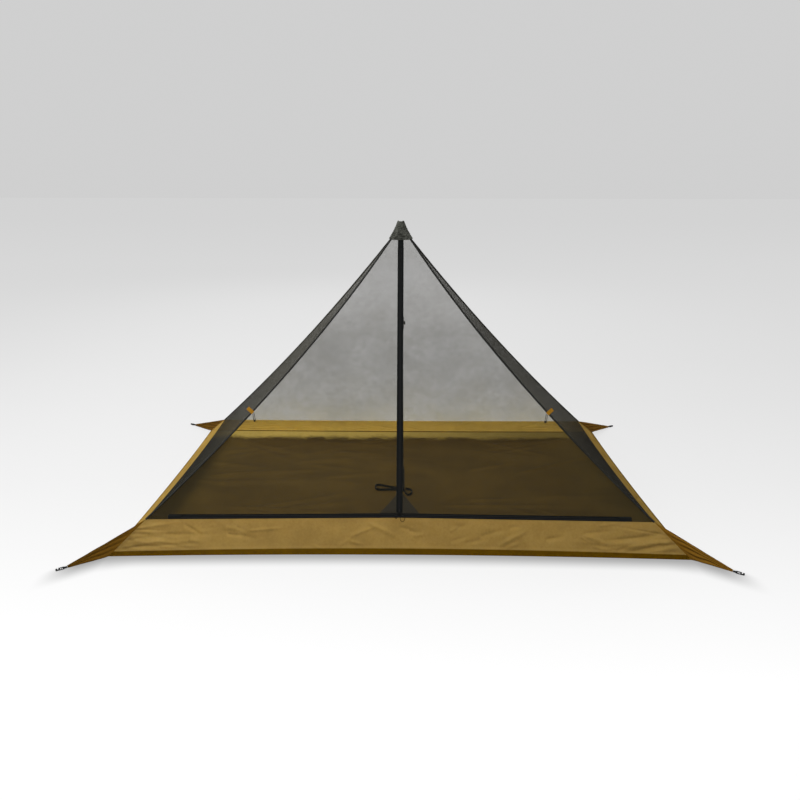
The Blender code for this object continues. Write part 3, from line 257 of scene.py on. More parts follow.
def creases(u, v, lines):
    """Straight soft creases over a cloth's own u and v in metres: each is a bell curve of the
    distance from its line, faded in and out along it. lines is an array whose rows hold the start's
    u and v, the angle, the length, the width and the size; they are added up one at a time."""
    total = np.zeros_like(u)
    for start_u, start_v, angle, length, width, size in lines:
        cosine, sine = math.cos(angle), math.sin(angle)
        along = ((u - start_u) * cosine + (v - start_v) * sine) / length
        away = ((v - start_v) * cosine - (u - start_u) * sine) / width
        fade = np.clip(along * 6, 0, 1) * np.clip((1 - along) * 1.6, 0, 1)
        total = total + size * np.exp(-away**2) * fade * fade * (3 - 2 * fade)
    return total


def ridge_corner(bow_share, height):
    """Half length and half width between the ridges: a straight line from wall to rim, less four
    times the bow share times rise times (1 - rise)."""
    rise = (height - WALL_HEIGHT) / (RIM_HEIGHT - WALL_HEIGHT)
    reach = (1 - rise) * (1 - 4 * bow_share * rise)
    half_length = mix(RIM_HALF_LENGTH, FLOOR_HALF_LENGTH - WALL_LEAN_LONG, reach)
    return half_length, mix(RIM_HALF_WIDTH, FLOOR_HALF_WIDTH - WALL_LEAN_SHORT, reach)


def front_depth(across, height):
    """Depth of the front cloth: the straight zip line's depth, blended to the ridge's with distance."""
    rise = (height - WALL_HEIGHT) / (RIM_HEIGHT - WALL_HEIGHT)
    zip_depth = mix(FLOOR_HALF_WIDTH - WALL_LEAN_SHORT - SILL_INSET, RIM_HALF_WIDTH, rise)
    half_length, half_width = ridge_corner(FRONT_BOW_SHARE, height)
    return mix(zip_depth, half_width, np.abs(across) / half_length)


def front_points(across, height, forwards=0.0):
    """Points on the front cloth, moved forwards of it, from arrays of x and height."""
    return np.stack([across, -(front_depth(across, height) + forwards), height], axis=-1)


def hinge_across(height):
    """Distance of the door's hinge line from the zip: a straight line from foot to head."""
    return mix(HINGE_FOOT, HINGE_HEAD, (height - WALL_HEIGHT) / (DOOR_TOP - WALL_HEIGHT))


def surface_normals(points):
    """Unit normals of a grid: the cross product of its differences down the rows and across."""
    down = np.gradient(points, axis=0)
    across = np.gradient(points, axis=1)
    return unit(np.cross(across, down))


def run_lengths(points, axis):
    """Distance run along one axis of a grid, from zero at its start."""
    steps = np.linalg.norm(np.diff(points, axis=axis), axis=-1)
    zero = np.zeros_like(np.take(steps, [0], axis=axis))
    return np.concatenate([zero, np.cumsum(steps, axis=axis)], axis=axis)


def link(name, mesh, material):
    """Puts a mesh in the scene as one piece with its material."""
    mesh.materials.append(material)
    piece = bpy.data.objects.new(name, mesh)
    bpy.context.scene.collection.objects.link(piece)
    return piece


def smooth(mesh, degrees):
    """Shades a mesh smooth but keeps the edges sharper than an angle."""
    mesh.shade_smooth()
    mesh.set_sharp_from_angle(angle=math.radians(degrees))


def mark(mesh, uvs, painted_light):
    """Gives a mesh its cloth UV map, one place for each face corner, and its painted light attribute,
    one value for each point."""
    layer = mesh.uv_layers.new(name="cloth")
    layer.data.foreach_set("uv", uvs.astype(np.float32).reshape(-1))
    folds = mesh.attributes.new("fold_and_painted_light", "FLOAT", "POINT")
    folds.data.foreach_set("value", painted_light.astype(np.float32).reshape(-1))


def add_sheet(name, points, material, thickness, fold_and_painted_light=None):
    """A closed cloth sheet from a grid of middle points: each point is moved half the thickness
    along the normal for the face and back, and the rim joins them. UVs are in metres, and the
    painted light attribute, from 0 to 1, tells a material where to paint light and shade on the cloth."""
    rows, columns = points.shape[:2]
    half = np.broadcast_to(np.asarray(thickness) / 2, (rows, columns))[..., None]
    offset = surface_normals(points) * half
    corners = np.concatenate([(points + offset).reshape(-1, 3), (points - offset).reshape(-1, 3)])
    index = np.arange(rows * columns).reshape(rows, columns)
    cells = np.stack([index[:-1, :-1], index[1:, :-1], index[1:, 1:], index[:-1, 1:]], axis=-1)
    cells = cells.reshape(-1, 4)
    rim = np.concatenate([index[0, :-1], index[:-1, -1], index[-1, :0:-1], index[:0:-1, 0]])
    following = np.roll(rim, -1)
    back = rows * columns
    sides = np.stack([rim, following, following + back, rim + back], axis=-1)
    faces = np.concatenate([cells[:, ::-1], cells + back, sides[:, ::-1]])
    mesh = bpy.data.meshes.new(name)
    mesh.from_pydata(corners.tolist(), [], faces.tolist())
    lengths = np.stack([run_lengths(points, 1), run_lengths(points, 0)], axis=-1).reshape(-1, 2)
    lengths = np.concatenate([lengths, lengths])
    painted_light = np.full((rows, columns), EVEN_PAINTED_LIGHT) if fold_and_painted_light is None else fold_and_painted_light
    mark(mesh, lengths[faces.reshape(-1)], np.tile(painted_light.reshape(-1), 2))
    orient(mesh)
    smooth(mesh, 50)
    return link(name, mesh, material)


def orient(mesh):
    """Turns every face of a closed mesh outwards: its volume, the sum of the tetrahedra under
    its faces, has to be positive."""
    mesh.calc_loop_triangles()
    places = np.empty(len(mesh.vertices) * 3, dtype=np.float32)
    mesh.vertices.foreach_get("co", places)
    places = places.reshape(-1, 3).astype(float)
    triangles = np.empty(len(mesh.loop_triangles) * 3, dtype=np.int32)
    mesh.loop_triangles.foreach_get("vertices", triangles)
    places = places - places.mean(axis=0)
    first, second, third = (places[triangles.reshape(-1, 3)[:, corner]] for corner in range(3))
    if np.einsum("ij,ij->i", first, np.cross(second, third)).sum() < 0:
        mesh.flip_normals()


def add_tube(name, rings, material, closed=False, degrees=40, fold_and_painted_light=None):
    """A closed solid through rings of points (rows, around, 3), capped at both ends unless it
    joins up with itself. UVs run round and along it in metres, and the painted light attribute is as in
    add_sheet."""
    rows, around = rings.shape[:2]
    index = np.arange(rows * around).reshape(rows, around)
    if closed:
        index = np.concatenate([index, index[:1]])
    turned = np.roll(index, -1, axis=1)
    cells = np.stack([index[:-1], turned[:-1], turned[1:], index[1:]], axis=-1).reshape(-1, 4)
    faces = cells.tolist()
    if not closed:
        faces += [index[0, ::-1].tolist(), index[-1].tolist()]
    mesh = bpy.data.meshes.new(name)
    mesh.from_pydata(rings.reshape(-1, 3).tolist(), [], faces)
    loop = np.concatenate([rings, rings[:, :1]], axis=1)
    along = run_lengths(np.concatenate([rings, rings[:1]]) if closed else rings, 0)
    around_run = run_lengths(loop, 1)
    steps = np.arange(len(index) - 1)[:, None]
    turns = np.arange(around)[None, :]
    ring = np.minimum(steps, rows - 1) + 0 * turns
    corner_us = np.stack([around_run[ring, turns], around_run[ring, turns + 1]] * 2, axis=-1)
    corner_us = corner_us[..., [0, 1, 3, 2]]
    low = along[steps, turns]
    high = along[steps + 1, turns]
    corner_vs = np.stack([low, low, high, high], axis=-1)
    uvs = np.stack([corner_us, corner_vs], axis=-1).reshape(-1, 2)
    if not closed:
        uvs = np.concatenate([uvs, np.zeros((2 * around, 2))])
    painted_light = np.full((rows, around), EVEN_PAINTED_LIGHT) if fold_and_painted_light is None else fold_and_painted_light
    mark(mesh, uvs, painted_light)
    orient(mesh)
    smooth(mesh, degrees)
    return link(name, mesh, material)


def unit(vectors):
    """Vectors divided by their lengths."""
    return vectors / np.maximum(np.linalg.norm(vectors, axis=-1, keepdims=True), 1e-12)


def superellipse(angle, half_length, half_width, power):
    """A rounded rectangle: the cosine and sine keep their signs, and their sizes are raised to a
    power that makes an ellipse at 1."""
    cosine, sine = np.cos(angle), np.sin(angle)
    x = half_length * np.sign(cosine) * np.abs(cosine)**power
    return x, half_width * np.sign(sine) * np.abs(sine)**power


def ribbon_rings(path, across, width, thickness):
    """A flat strap's rings: at each point of the path, a rounded rectangle lies along `across`
    and along the cross product of the path's direction with it."""
    across = unit(np.broadcast_to(across, path.shape))
    tangent = unit(np.gradient(path, axis=0))
    normal = unit(np.cross(tangent, across))
    angle = np.linspace(0, 2 * np.pi, 24, endpoint=False)
    first, second = superellipse(angle, width / 2, thickness / 2, 1 / 3)
    return path[:, None] + across[:, None] * first[:, None] + normal[:, None] * second[:, None]


def smooth_path(route, count):
    """Even points on a Catmull-Rom curve through a route's own points."""
    route = np.asarray(route, dtype=float)
    padded = np.concatenate([[2 * route[0] - route[1]], route, [2 * route[-1] - route[-2]]])
    share = np.linspace(0, 1, 24, endpoint=False)[:, None, None]
    before, start, end, after = (padded[shift:shift + len(route) - 1] for shift in range(4))
    curve = 2 * start + (end - before) * share + (2 * before - 5 * start + 4 * end - after) * share**2
    curve = (curve + (3 * start - before - 3 * end + after) * share**3) / 2
    fine = np.concatenate([curve.transpose(1, 0, 2).reshape(-1, route.shape[1]), route[-1:]])
    run = np.concatenate([[0], np.cumsum(np.linalg.norm(np.diff(fine, axis=0), axis=1))])
    places = np.linspace(0, run[-1], count)
    return np.stack([np.interp(places, run, fine[:, axis]) for axis in range(route.shape[1])], axis=-1)


class Nodes:
    """Short ways to add and join nodes in one node tree."""

    def __init__(self, tree):
        self.tree = tree

    def add(self, kind, inputs=None, **settings):
        """One node with its settings, its inputs set by name or number to values or sockets."""
        node = self.tree.nodes.new(kind)
        for key, value in settings.items():
            setattr(node, key, value)
        for key, value in (inputs or {}).items():
            self.feed(node.inputs[key], value)
        return node

    def feed(self, socket, value):
        """Links a socket into an input, or sets its plain value."""
        if isinstance(value, bpy.types.NodeSocket):
            self.tree.links.new(value, socket)
        else:
            socket.default_value = value

    def math(self, operation, first, second=0.0, third=0.0, clamp=False):
        """A Math node's result."""
        inputs = {0: first, 1: second, 2: third}
        return self.add("ShaderNodeMath", inputs, operation=operation, use_clamp=clamp).outputs[0]

    def blend(self, share, first, second):
        """A colour Mix node's result."""
        inputs = {0: share, 6: first, 7: second}
        return self.add("ShaderNodeMix", inputs, data_type="RGBA").outputs[2]

    def noise(self, vector, scale, detail, rough=0.55):
        """A noise texture's value."""
        inputs = {"Vector": vector, "Scale": scale, "Detail": detail, "Roughness": rough}
        return self.add("ShaderNodeTexNoise", inputs).outputs["Fac"]

    def remap(self, value, low, high, start=0.0, end=1.0):
        """A value carried from one range to another, eased at both ends and kept inside it."""
        names = ("Value", "From Min", "From Max", "To Min", "To Max")
        inputs = dict(zip(names, (value, low, high, start, end)))
        return self.add("ShaderNodeMapRange", inputs, interpolation_type="SMOOTHSTEP").outputs[0]

    def parts(self, vector):
        """A vector's three parts."""
        return self.add("ShaderNodeSeparateXYZ", {0: vector}).outputs

    def place(self):
        """The place in the object, in metres."""
        return self.add("ShaderNodeTexCoord").outputs["Object"]

    def cloth(self):
        """The place on the piece's own cloth, in metres."""
        return self.add("ShaderNodeUVMap", uv_map="cloth").outputs[0]

    def fold_and_painted_light(self):
        """The painted light attribute, from 0 to 1: where a material paints light and shade, or a glow."""
        return self.add("ShaderNodeAttribute", attribute_name="fold_and_painted_light").outputs["Fac"]

    def bump(self, strength, distance, height, **inputs):
        """A Bump node's normal."""
        given = {"Strength": strength, "Distance": distance, "Height": height, **inputs}
        return self.add("ShaderNodeBump", given).outputs[0]

    def seen(self):
        """One where the camera sees a surface, straight or in a reflection or through another."""
        path = self.add("ShaderNodeLightPath").outputs
        direct = self.math("MAXIMUM", path["Is Camera Ray"], path["Is Glossy Ray"])
        return self.math("MAXIMUM", direct, path["Is Transmission Ray"])


def new_group(name, inputs, outputs):
    """An empty shader node group. Its inputs after the vector are numbers, by name and default."""
    tree = bpy.data.node_groups.new(name, "ShaderNodeTree")
    tree.interface.new_socket("Vector", in_out="INPUT", socket_type="NodeSocketVector")
    for title, default in inputs.items():
        socket = tree.interface.new_socket(title, in_out="INPUT", socket_type="NodeSocketFloat")
        socket.default_value = default
    for title in outputs:
        tree.interface.new_socket(title, in_out="OUTPUT", socket_type="NodeSocketFloat")
    nodes = Nodes(tree)
    return nodes, tree.nodes.new("NodeGroupInput").outputs, tree.nodes.new("NodeGroupOutput").inputs


def weave_group():
    """Crossed threads: the larger of two sine waves over U and V, with a ripstop line on a wider grid."""
    scales = {"Threads per metre": 900.0, "Ripstop per metre": 170.0}
    nodes, given, result = new_group("Woven threads", scales, ("Height", "Ripstop"))
    parts = nodes.parts(given["Vector"])
    waves = []
    lines = []
    for axis in (0, 1):
        turn = nodes.math("MULTIPLY", given["Threads per metre"], 6.2832)
        waves.append(nodes.math("SINE", nodes.math("MULTIPLY", parts[axis], turn)))
        share = nodes.math("FRACT", nodes.math("MULTIPLY", parts[axis], given["Ripstop per metre"]))
        lines.append(nodes.math("GREATER_THAN", share, 0.90))
    nodes.feed(result["Height"], nodes.math("MAXIMUM", *waves))
    nodes.feed(result["Ripstop"], nodes.math("MAXIMUM", *lines))
    return nodes.tree


def crinkle_group():
    """Creased cloth: ridged noise for sharp creases and soft noise for the cloth between them."""
    scales = {"Creases per metre": 12.0, "Sharpness": 0.5}
    nodes, given, result = new_group("Cloth crinkle", scales, ("Height", "Mottle"))
    soft = nodes.noise(given["Vector"], given["Creases per metre"], 4.0, 0.6)
    far = nodes.math("ABSOLUTE", nodes.math("SUBTRACT", soft, 0.5))
    sharp = nodes.math("SUBTRACT", 1.0, nodes.math("MULTIPLY", far, 6.0), clamp=True)
    nodes.feed(result["Height"], nodes.math("MULTIPLY_ADD", sharp, given["Sharpness"], soft))
    fine = nodes.noise(given["Vector"], nodes.math("MULTIPLY", given["Creases per metre"], 7.0), 2.0)
    fine = nodes.math("MULTIPLY", fine, 0.3)
    nodes.feed(result["Mottle"], nodes.math("ADD", nodes.math("MULTIPLY", soft, 0.7), fine))
    return nodes.tree


def stitch_group():
    """A row of stitches: dashes along V where U lies within a stitch's width of the row's place."""
    scales = {"Place": 0.002, "Stitch length": STITCH_LENGTH}
    nodes, given, result = new_group("Stitch row", scales, ("Mask",))
    parts = nodes.parts(given["Vector"])
    away = nodes.math("ABSOLUTE", nodes.math("SUBTRACT", parts[0], given["Place"]))
    near = nodes.math("LESS_THAN", away, 0.0004)
    share = nodes.math("FRACT", nodes.math("DIVIDE", parts[1], given["Stitch length"]))
    nodes.feed(result["Mask"], nodes.math("MULTIPLY", near, nodes.math("LESS_THAN", share, 0.7)))
    return nodes.tree


def wear_group():
    """Wear and dust on hard parts: large noise for dull patches and fine noise for grain."""
    scales = {"Patches per metre": 60.0, "Grain per metre": 1500.0}
    nodes, given, result = new_group("Wear and dust", scales, ("Patches", "Grain"))
    nodes.feed(result["Patches"], nodes.noise(given["Vector"], given["Patches per metre"], 4.0, 0.65))
    nodes.feed(result["Grain"], nodes.noise(given["Vector"], given["Grain per metre"], 1.0))
    return nodes.tree


GROUPS = {}
FINISHES = {}


def use_group(nodes, name, inputs):
    """A placed copy of one of the shared groups, built on first use."""
    makers = {"weave": weave_group, "crinkle": crinkle_group, "stitch": stitch_group, "wear": wear_group}
    if name not in GROUPS:
        GROUPS[name] = makers[name]()
    return nodes.add("ShaderNodeGroup", inputs, node_tree=GROUPS[name]).outputs


def new_finish(name, roughness, gloss, metallic=0.0):
    """A new material under its name in FINISHES: its nodes and its Principled shader."""
    material = bpy.data.materials.new(name)
    material.use_nodes = True
    shader = material.node_tree.nodes["Principled BSDF"]
    shader.inputs["Roughness"].default_value = roughness
    shader.inputs["Metallic"].default_value = metallic
    shader.inputs["Specular IOR Level"].default_value = gloss
    FINISHES[name] = material
    return Nodes(material.node_tree), shader


def tint(colour, factor):
    """A colour times a factor, as an RGBA value."""
    return (colour[0] * factor, colour[1] * factor, colour[2] * factor, 1.0)


def add_painted_glow(nodes, shader, share, colour):
    """Painted light: the surface gives off a share of a colour as a glow, though it is no lamp."""
    nodes.feed(shader.inputs["Emission Color"], nodes.blend(share, BLACK, tint(colour, 1.0)))
    shader.inputs["Emission Strength"].default_value = 1.0


def cloth_finish(name, colour, roughness, creases, depth, contrast, ripstop=0.06, hem=None, glow=0.0,
                 edge=None, fine=0.35, gloss=0.03):
    """Coated cloth: woven threads and ripstop lines, creases, and a tone that mixes a random mottle
    with painted light and shade: paler where the painted light attribute is high, darker where it
    is low. Fine is the mottle's share of that tone. A hem is a band of another colour up to a height,
    with two rows of stitches at its upper edge. The glow is the share of light that soaks through the
    thin cloth to its other face, and the edge is the colour of a painted glow on the floor's rim,
    which stands in for the light that the walls let through."""
    nodes, shader = new_finish(name, roughness, gloss)
    shader.inputs["Subsurface Weight"].default_value = glow
    shader.inputs["Subsurface Radius"].default_value = (1.0, 0.8, 0.5)
    shader.inputs["Subsurface Scale"].default_value = 0.006
    cloth = nodes.cloth()
    place = nodes.place()
    scales = {"Vector": place, "Creases per metre": creases, "Sharpness": 0.25}
    crinkle = use_group(nodes, "crinkle", scales)
    weave = use_group(nodes, "weave", {"Vector": cloth})
    # Painted light and shade: the tone is paler where the attribute is high and darker where it is low,
    # mixed with a random mottle
    painted_light = nodes.math("MULTIPLY", nodes.fold_and_painted_light(), 1 - fine)
    tone = nodes.math("MULTIPLY_ADD", nodes.remap(crinkle["Mottle"], 0.32, 0.68), fine, painted_light)
    base = nodes.blend(tone, tint(colour, 1 - contrast), tint(colour, 1 + contrast))
    # Painted glow on the floor's rim, standing in for light that the walls let through
    if edge:
        add_painted_glow(nodes, shader, painted_rim_glow(nodes, place, crinkle["Mottle"]), edge)
    if hem:
        base = hem_band(nodes, cloth, base, tone, colour, contrast, *hem)
    base = nodes.blend(nodes.math("MULTIPLY", weave["Ripstop"], ripstop), base, tint(colour, 0.5))
    nodes.feed(shader.inputs["Base Color"], base)
    spread = nodes.remap(crinkle["Mottle"], 0.3, 0.7, roughness - 0.08, roughness + 0.08)
    nodes.feed(shader.inputs["Roughness"], spread)
    coarse = nodes.bump(0.8, depth, crinkle["Height"])
    nodes.feed(shader.inputs["Normal"], nodes.bump(0.25, THREAD_RELIEF, weave["Height"], Normal=coarse))


def hem_band(nodes, cloth, base, tone, colour, contrast, shade, top):
    """A base colour with a band of another shade up to a height, paler cloth just above it, and two
    rows of stitches at the band's upper edge."""
    parts = nodes.parts(cloth)
    above = nodes.remap(parts[1], top + HEM_PALE_REACH, top + HEM_PALE_START, 0.0, 0.30)
    base = nodes.blend(above, base, tint(colour, 1.5))
    darker = nodes.blend(tone, tint(shade, 1 - contrast), tint(shade, 1 + contrast))
    base = nodes.blend(nodes.remap(parts[1], top + HEM_BLUR, top - HEM_BLUR), base, darker)
    turned = nodes.add("ShaderNodeCombineXYZ", {0: parts[1], 1: parts[0]}).outputs[0]
    for row in HEM_STITCH_ROWS:
        stitch = use_group(nodes, "stitch", {"Vector": turned, "Place": top + row})
        base = nodes.blend(nodes.math("MULTIPLY", stitch["Mask"], 0.5), base, tint(shade, 0.5))
    return base


def painted_rim_glow(nodes, place, mottle):
    """How much painted glow the floor's rim gives off, standing in for light that soaks through the
    walls: most in a strip under the rear wall, more of it to the left, and a little beside the ends,
    with an uneven boundary."""
    parts = nodes.parts(place)
    uneven = nodes.math("MULTIPLY_ADD", mottle, 0.22, -0.11)
    rear = nodes.remap(nodes.math("ADD", parts[1], uneven), *RIM_GLOW_REAR)
    rear = nodes.math("MULTIPLY", rear, nodes.remap(parts[0], -0.9, 1.1, 1.0, 0.25))
    out = nodes.math("ADD", nodes.math("ABSOLUTE", parts[0]), uneven)
    return nodes.math("MAXIMUM", rear, nodes.remap(out, *RIM_GLOW_SIDE, 0.0, 0.05))


def net_finish(name, colour, lit, cover):
    """Fine netting: too fine to see its holes, so each face covers a share of what lies behind it,
    a little more or less where the threads bunch, and less towards the peak, where it is stretched.
    Seen aslant, the threads close up: what passes is the square-on share raised to one over the
    cosine of the angle. Seen aslant and low down, the threads' colour is darkened by painted shade.
    Where the painted light attribute nears 1, the threads give off a painted warm glow, which stands
    in for light from behind."""
    nodes, shader = new_finish(name, 0.9, 0.03)
    threads = {"Vector": nodes.cloth(), "Threads per metre": 700.0, "Ripstop per metre": 60.0}
    place = nodes.place()
    crinkle = use_group(nodes, "crinkle", {"Vector": place, "Creases per metre": 5.0, "Sharpness": 0.15})
    weave = use_group(nodes, "weave", threads)
    height = nodes.parts(place)[2]
    bunch = nodes.remap(crinkle["Mottle"], 0.3, 0.7, cover - NET_SPREAD, cover + NET_SPREAD)
    bunch = nodes.math("MULTIPLY", bunch, nodes.remap(height, *NET_STRETCH_HEIGHTS, 1.0, 0.66))
    covered = nodes.math("MULTIPLY_ADD", weave["Height"], 0.01, bunch)
    passed = nodes.math("SUBTRACT", 1.0, covered, clamp=True)
    facing = nodes.add("ShaderNodeLayerWeight", {"Blend": 0.5}).outputs["Facing"]
    cosine = nodes.math("MAXIMUM", nodes.math("SUBTRACT", 1.0, facing), LEAST_COSINE)
    passed = nodes.math("POWER", passed, nodes.math("DIVIDE", 1.0, cosine))
    nodes.feed(shader.inputs["Alpha"], nodes.math("SUBTRACT", 1.0, passed, clamp=True))
    # Painted shade: the threads' colour darkens where they are seen aslant, most of all low down
    low = nodes.remap(height, *NET_PAINTED_SHADE_HEIGHTS)
    aslant = nodes.math("MULTIPLY", nodes.remap(cosine, 0.60, 0.30), low)
    nodes.feed(shader.inputs["Base Color"], nodes.blend(aslant, tint(colour, 1.0), tint(colour, 0.35)))
    # Painted glow: warm light given off where the painted light attribute nears 1, standing in for light
    # from behind
    behind = nodes.math("MULTIPLY_ADD", nodes.fold_and_painted_light(), 2.0, -1.0, clamp=True)
    behind = nodes.math("MULTIPLY", behind, nodes.remap(crinkle["Mottle"], 0.3, 0.7, 0.75, 1.25))
    add_painted_glow(nodes, shader, behind, lit)
    nodes.feed(shader.inputs["Normal"], nodes.bump(0.4, NET_RELIEF, crinkle["Height"]))


def tape_finish(name, colour, row, thread=1.6, coil=None):
    """Woven tape: ribs across it, a row of stitches at a distance from its edge and a little wear.
    The thread is the stitches' tone over the tape's. A zip's tape has a coil of another colour
    along its first edge."""
    nodes, shader = new_finish(name, TAPE_ROUGHNESS, 0.10)
    cloth = nodes.cloth()
    threads = {"Vector": cloth, "Threads per metre": 1100.0, "Ripstop per metre": 1.0}
    weave = use_group(nodes, "weave", threads)
    stitch = use_group(nodes, "stitch", {"Vector": cloth, "Place": row})
    wear = use_group(nodes, "wear", {"Vector": cloth, "Patches per metre": 90.0, "Grain per metre": 900.0})
    base = nodes.blend(wear["Patches"], tint(colour, 0.7), tint(colour, 1.35))
    base = nodes.blend(nodes.math("MULTIPLY", stitch["Mask"], 0.6), base, tint(colour, thread))
    if coil:
        on_coil = nodes.math("LESS_THAN", nodes.parts(cloth)[0], COIL_REACH)
        base = nodes.blend(on_coil, base, tint(coil, 1.0))
    nodes.feed(shader.inputs["Base Color"], base)
    spread = nodes.remap(wear["Grain"], 0.3, 0.7, TAPE_ROUGHNESS - 0.08, TAPE_ROUGHNESS + 0.1)
    nodes.feed(shader.inputs["Roughness"], spread)
    nodes.feed(shader.inputs["Normal"], nodes.bump(0.5, RIB_RELIEF, weave["Height"]))


def hard_finish(name, colour, roughness, metallic=0.0, depth=0.00005, patches=60.0, gloss=0.3):
    """Moulded or turned hard parts: grain, dull patches and rubbed tone."""
    nodes, shader = new_finish(name, roughness, gloss, metallic)
    scales = {"Vector": nodes.place(), "Patches per metre": patches, "Grain per metre": 1800.0}
    wear = use_group(nodes, "wear", scales)
    base = nodes.blend(wear["Patches"], tint(colour, 0.75), tint(colour, 1.3))
    nodes.feed(shader.inputs["Base Color"], base)
    spread = nodes.remap(wear["Patches"], 0.3, 0.7, roughness - 0.1, roughness + 0.12)
    nodes.feed(shader.inputs["Roughness"], spread)
    nodes.feed(shader.inputs["Normal"], nodes.bump(0.3, depth, wear["Grain"]))


def dress_node(node, material):
    """Gives a CAD node its finish in each of its material slots."""
    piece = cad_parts[node]
    if not piece.material_slots:
        piece.data.materials.append(material)
    for place in piece.material_slots:
        place.material = material


def wall_half_size(height):
    """Half length and half width of the bathtub: the floor's, less the lean times the height share."""
    share = height / WALL_HEIGHT
    return FLOOR_HALF_LENGTH - WALL_LEAN_LONG * share, FLOOR_HALF_WIDTH - WALL_LEAN_SHORT * share


def long_wall_points(end, share, height):
    """Points on the front or rear wall from shares (-1 to 1) along it and heights: the half width,
    less a bow that blends from the floor's arch to the top's."""
    half_length, half_width = wall_half_size(height)
    rise = height / WALL_HEIGHT
    arch = 1 - share**2
    if end == FRONT:
        bow = mix(FRONT_FLOOR_BOW * arch, SILL_INSET * (1 - np.abs(share)), rise)
    else:
        bow = mix(REAR_FLOOR_BOW, REAR_TOP_BOW, rise) * arch
    return np.stack([share * half_length, end * (half_width - bow), height + 0 * share], axis=-1)


def short_wall_points(side, share, height):
    """Points on a side wall: the half length, less an arch that is deepest halfway along."""
    half_length, half_width = wall_half_size(height)
    bow = mix(SIDE_FLOOR_BOW, SIDE_TOP_BOW, height / WALL_HEIGHT) * (1 - share**2)
    return np.stack([side * (half_length - bow), share * half_width, height + 0 * share], axis=-1)


def side_mesh_points(side, share, height):
    """Points on a side's netting: a straight line from the front ridge to the rear one, less a bow
    that fades towards the peak."""
    front_x, front_y = ridge_corner(FRONT_BOW_SHARE, height)
    rear_x, rear_y = ridge_corner(REAR_BOW_SHARE, height)
    bow = SIDE_TOP_BOW * (RIM_HEIGHT - height) / (RIM_HEIGHT - WALL_HEIGHT) * 4 * share * (1 - share)
    y = mix(-(front_y - SEAM_GAP), rear_y - SEAM_GAP, share)
    return np.stack([side * (mix(front_x, rear_x, share) - bow), y, height + 0 * share], axis=-1)


def rear_mesh_points(share, height):
    """Points on the rear netting: shares (-1 to 1) of the half length between the rear ridges."""
    half_length, half_width = ridge_corner(REAR_BOW_SHARE, height)
    bow = REAR_TOP_BOW * (RIM_HEIGHT - height) / (RIM_HEIGHT - WALL_HEIGHT) * (1 - share**2)
    return np.stack([share * (half_length - SEAM_GAP), half_width - bow, height + 0 * share], axis=-1)


def place_piece(piece, body, node):
    """Says which body a piece rides on and which CAD node it replaces, if any."""
    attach(piece, body)
    if node:
        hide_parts(node)


def lay_cloth(name, node, points, material, thickness, body="tent", fold_and_painted_light=None):
    """A sheet that stands for a CAD node, on a body. Its cut is as wide as its longest run across,
    and as long as its longest run down or twice its area over the width, whichever is less.
    """
    piece = add_sheet(name, points, material, thickness, fold_and_painted_light)
    place_piece(piece, body, node)


def length_setting(name, description, default):
    """A length setting with its default in metres."""
    return bpy.props.FloatProperty(name=name, description=description, default=default, unit="LENGTH")


class TentSizes(bpy.types.PropertyGroup):
    """Sizes that a user would change."""

    wall_cloth: length_setting("Wall cloth", "Thickness of the bathtub's cloth", 0.0008)
    floor_cloth: length_setting("Floor cloth", "Thickness of the floor's cloth", 0.0008)
    net_cloth: length_setting("Netting", "Thickness of the netting", 0.0006)
    floor_wrinkle: length_setting("Floor wrinkles", "Height of the floor's long soft wrinkles", 0.0050)
    wall_wrinkle: length_setting("Wall wrinkles", "Depth of the walls' tension wrinkles", 0.0030)
    net_wrinkle: length_setting("Netting ripples", "Depth of the netting's slack ripples", 0.0018)
    hem_height: length_setting("Hem", "Height of the darker band along the foot of the walls", 0.026)
    coil_pitch: length_setting("Coil pitch", "Distance between two turns of a zip's coil", 0.0024)
    pleats: bpy.props.IntProperty(
        name="Gusset pleats", description="Number of pleats in each corner gusset", default=4)
    net_cover: bpy.props.FloatProperty(
        name="Netting cover", default=0.210, subtype="FACTOR",
        description="Share of the view that one face of the netting covers when seen square on")


def colour_setting(name, description, *linear):
    """A colour setting with its linear default."""
    return bpy.props.FloatVectorProperty(
        name=name, description=description, default=linear, subtype="COLOR", size=3, min=0, max=1)


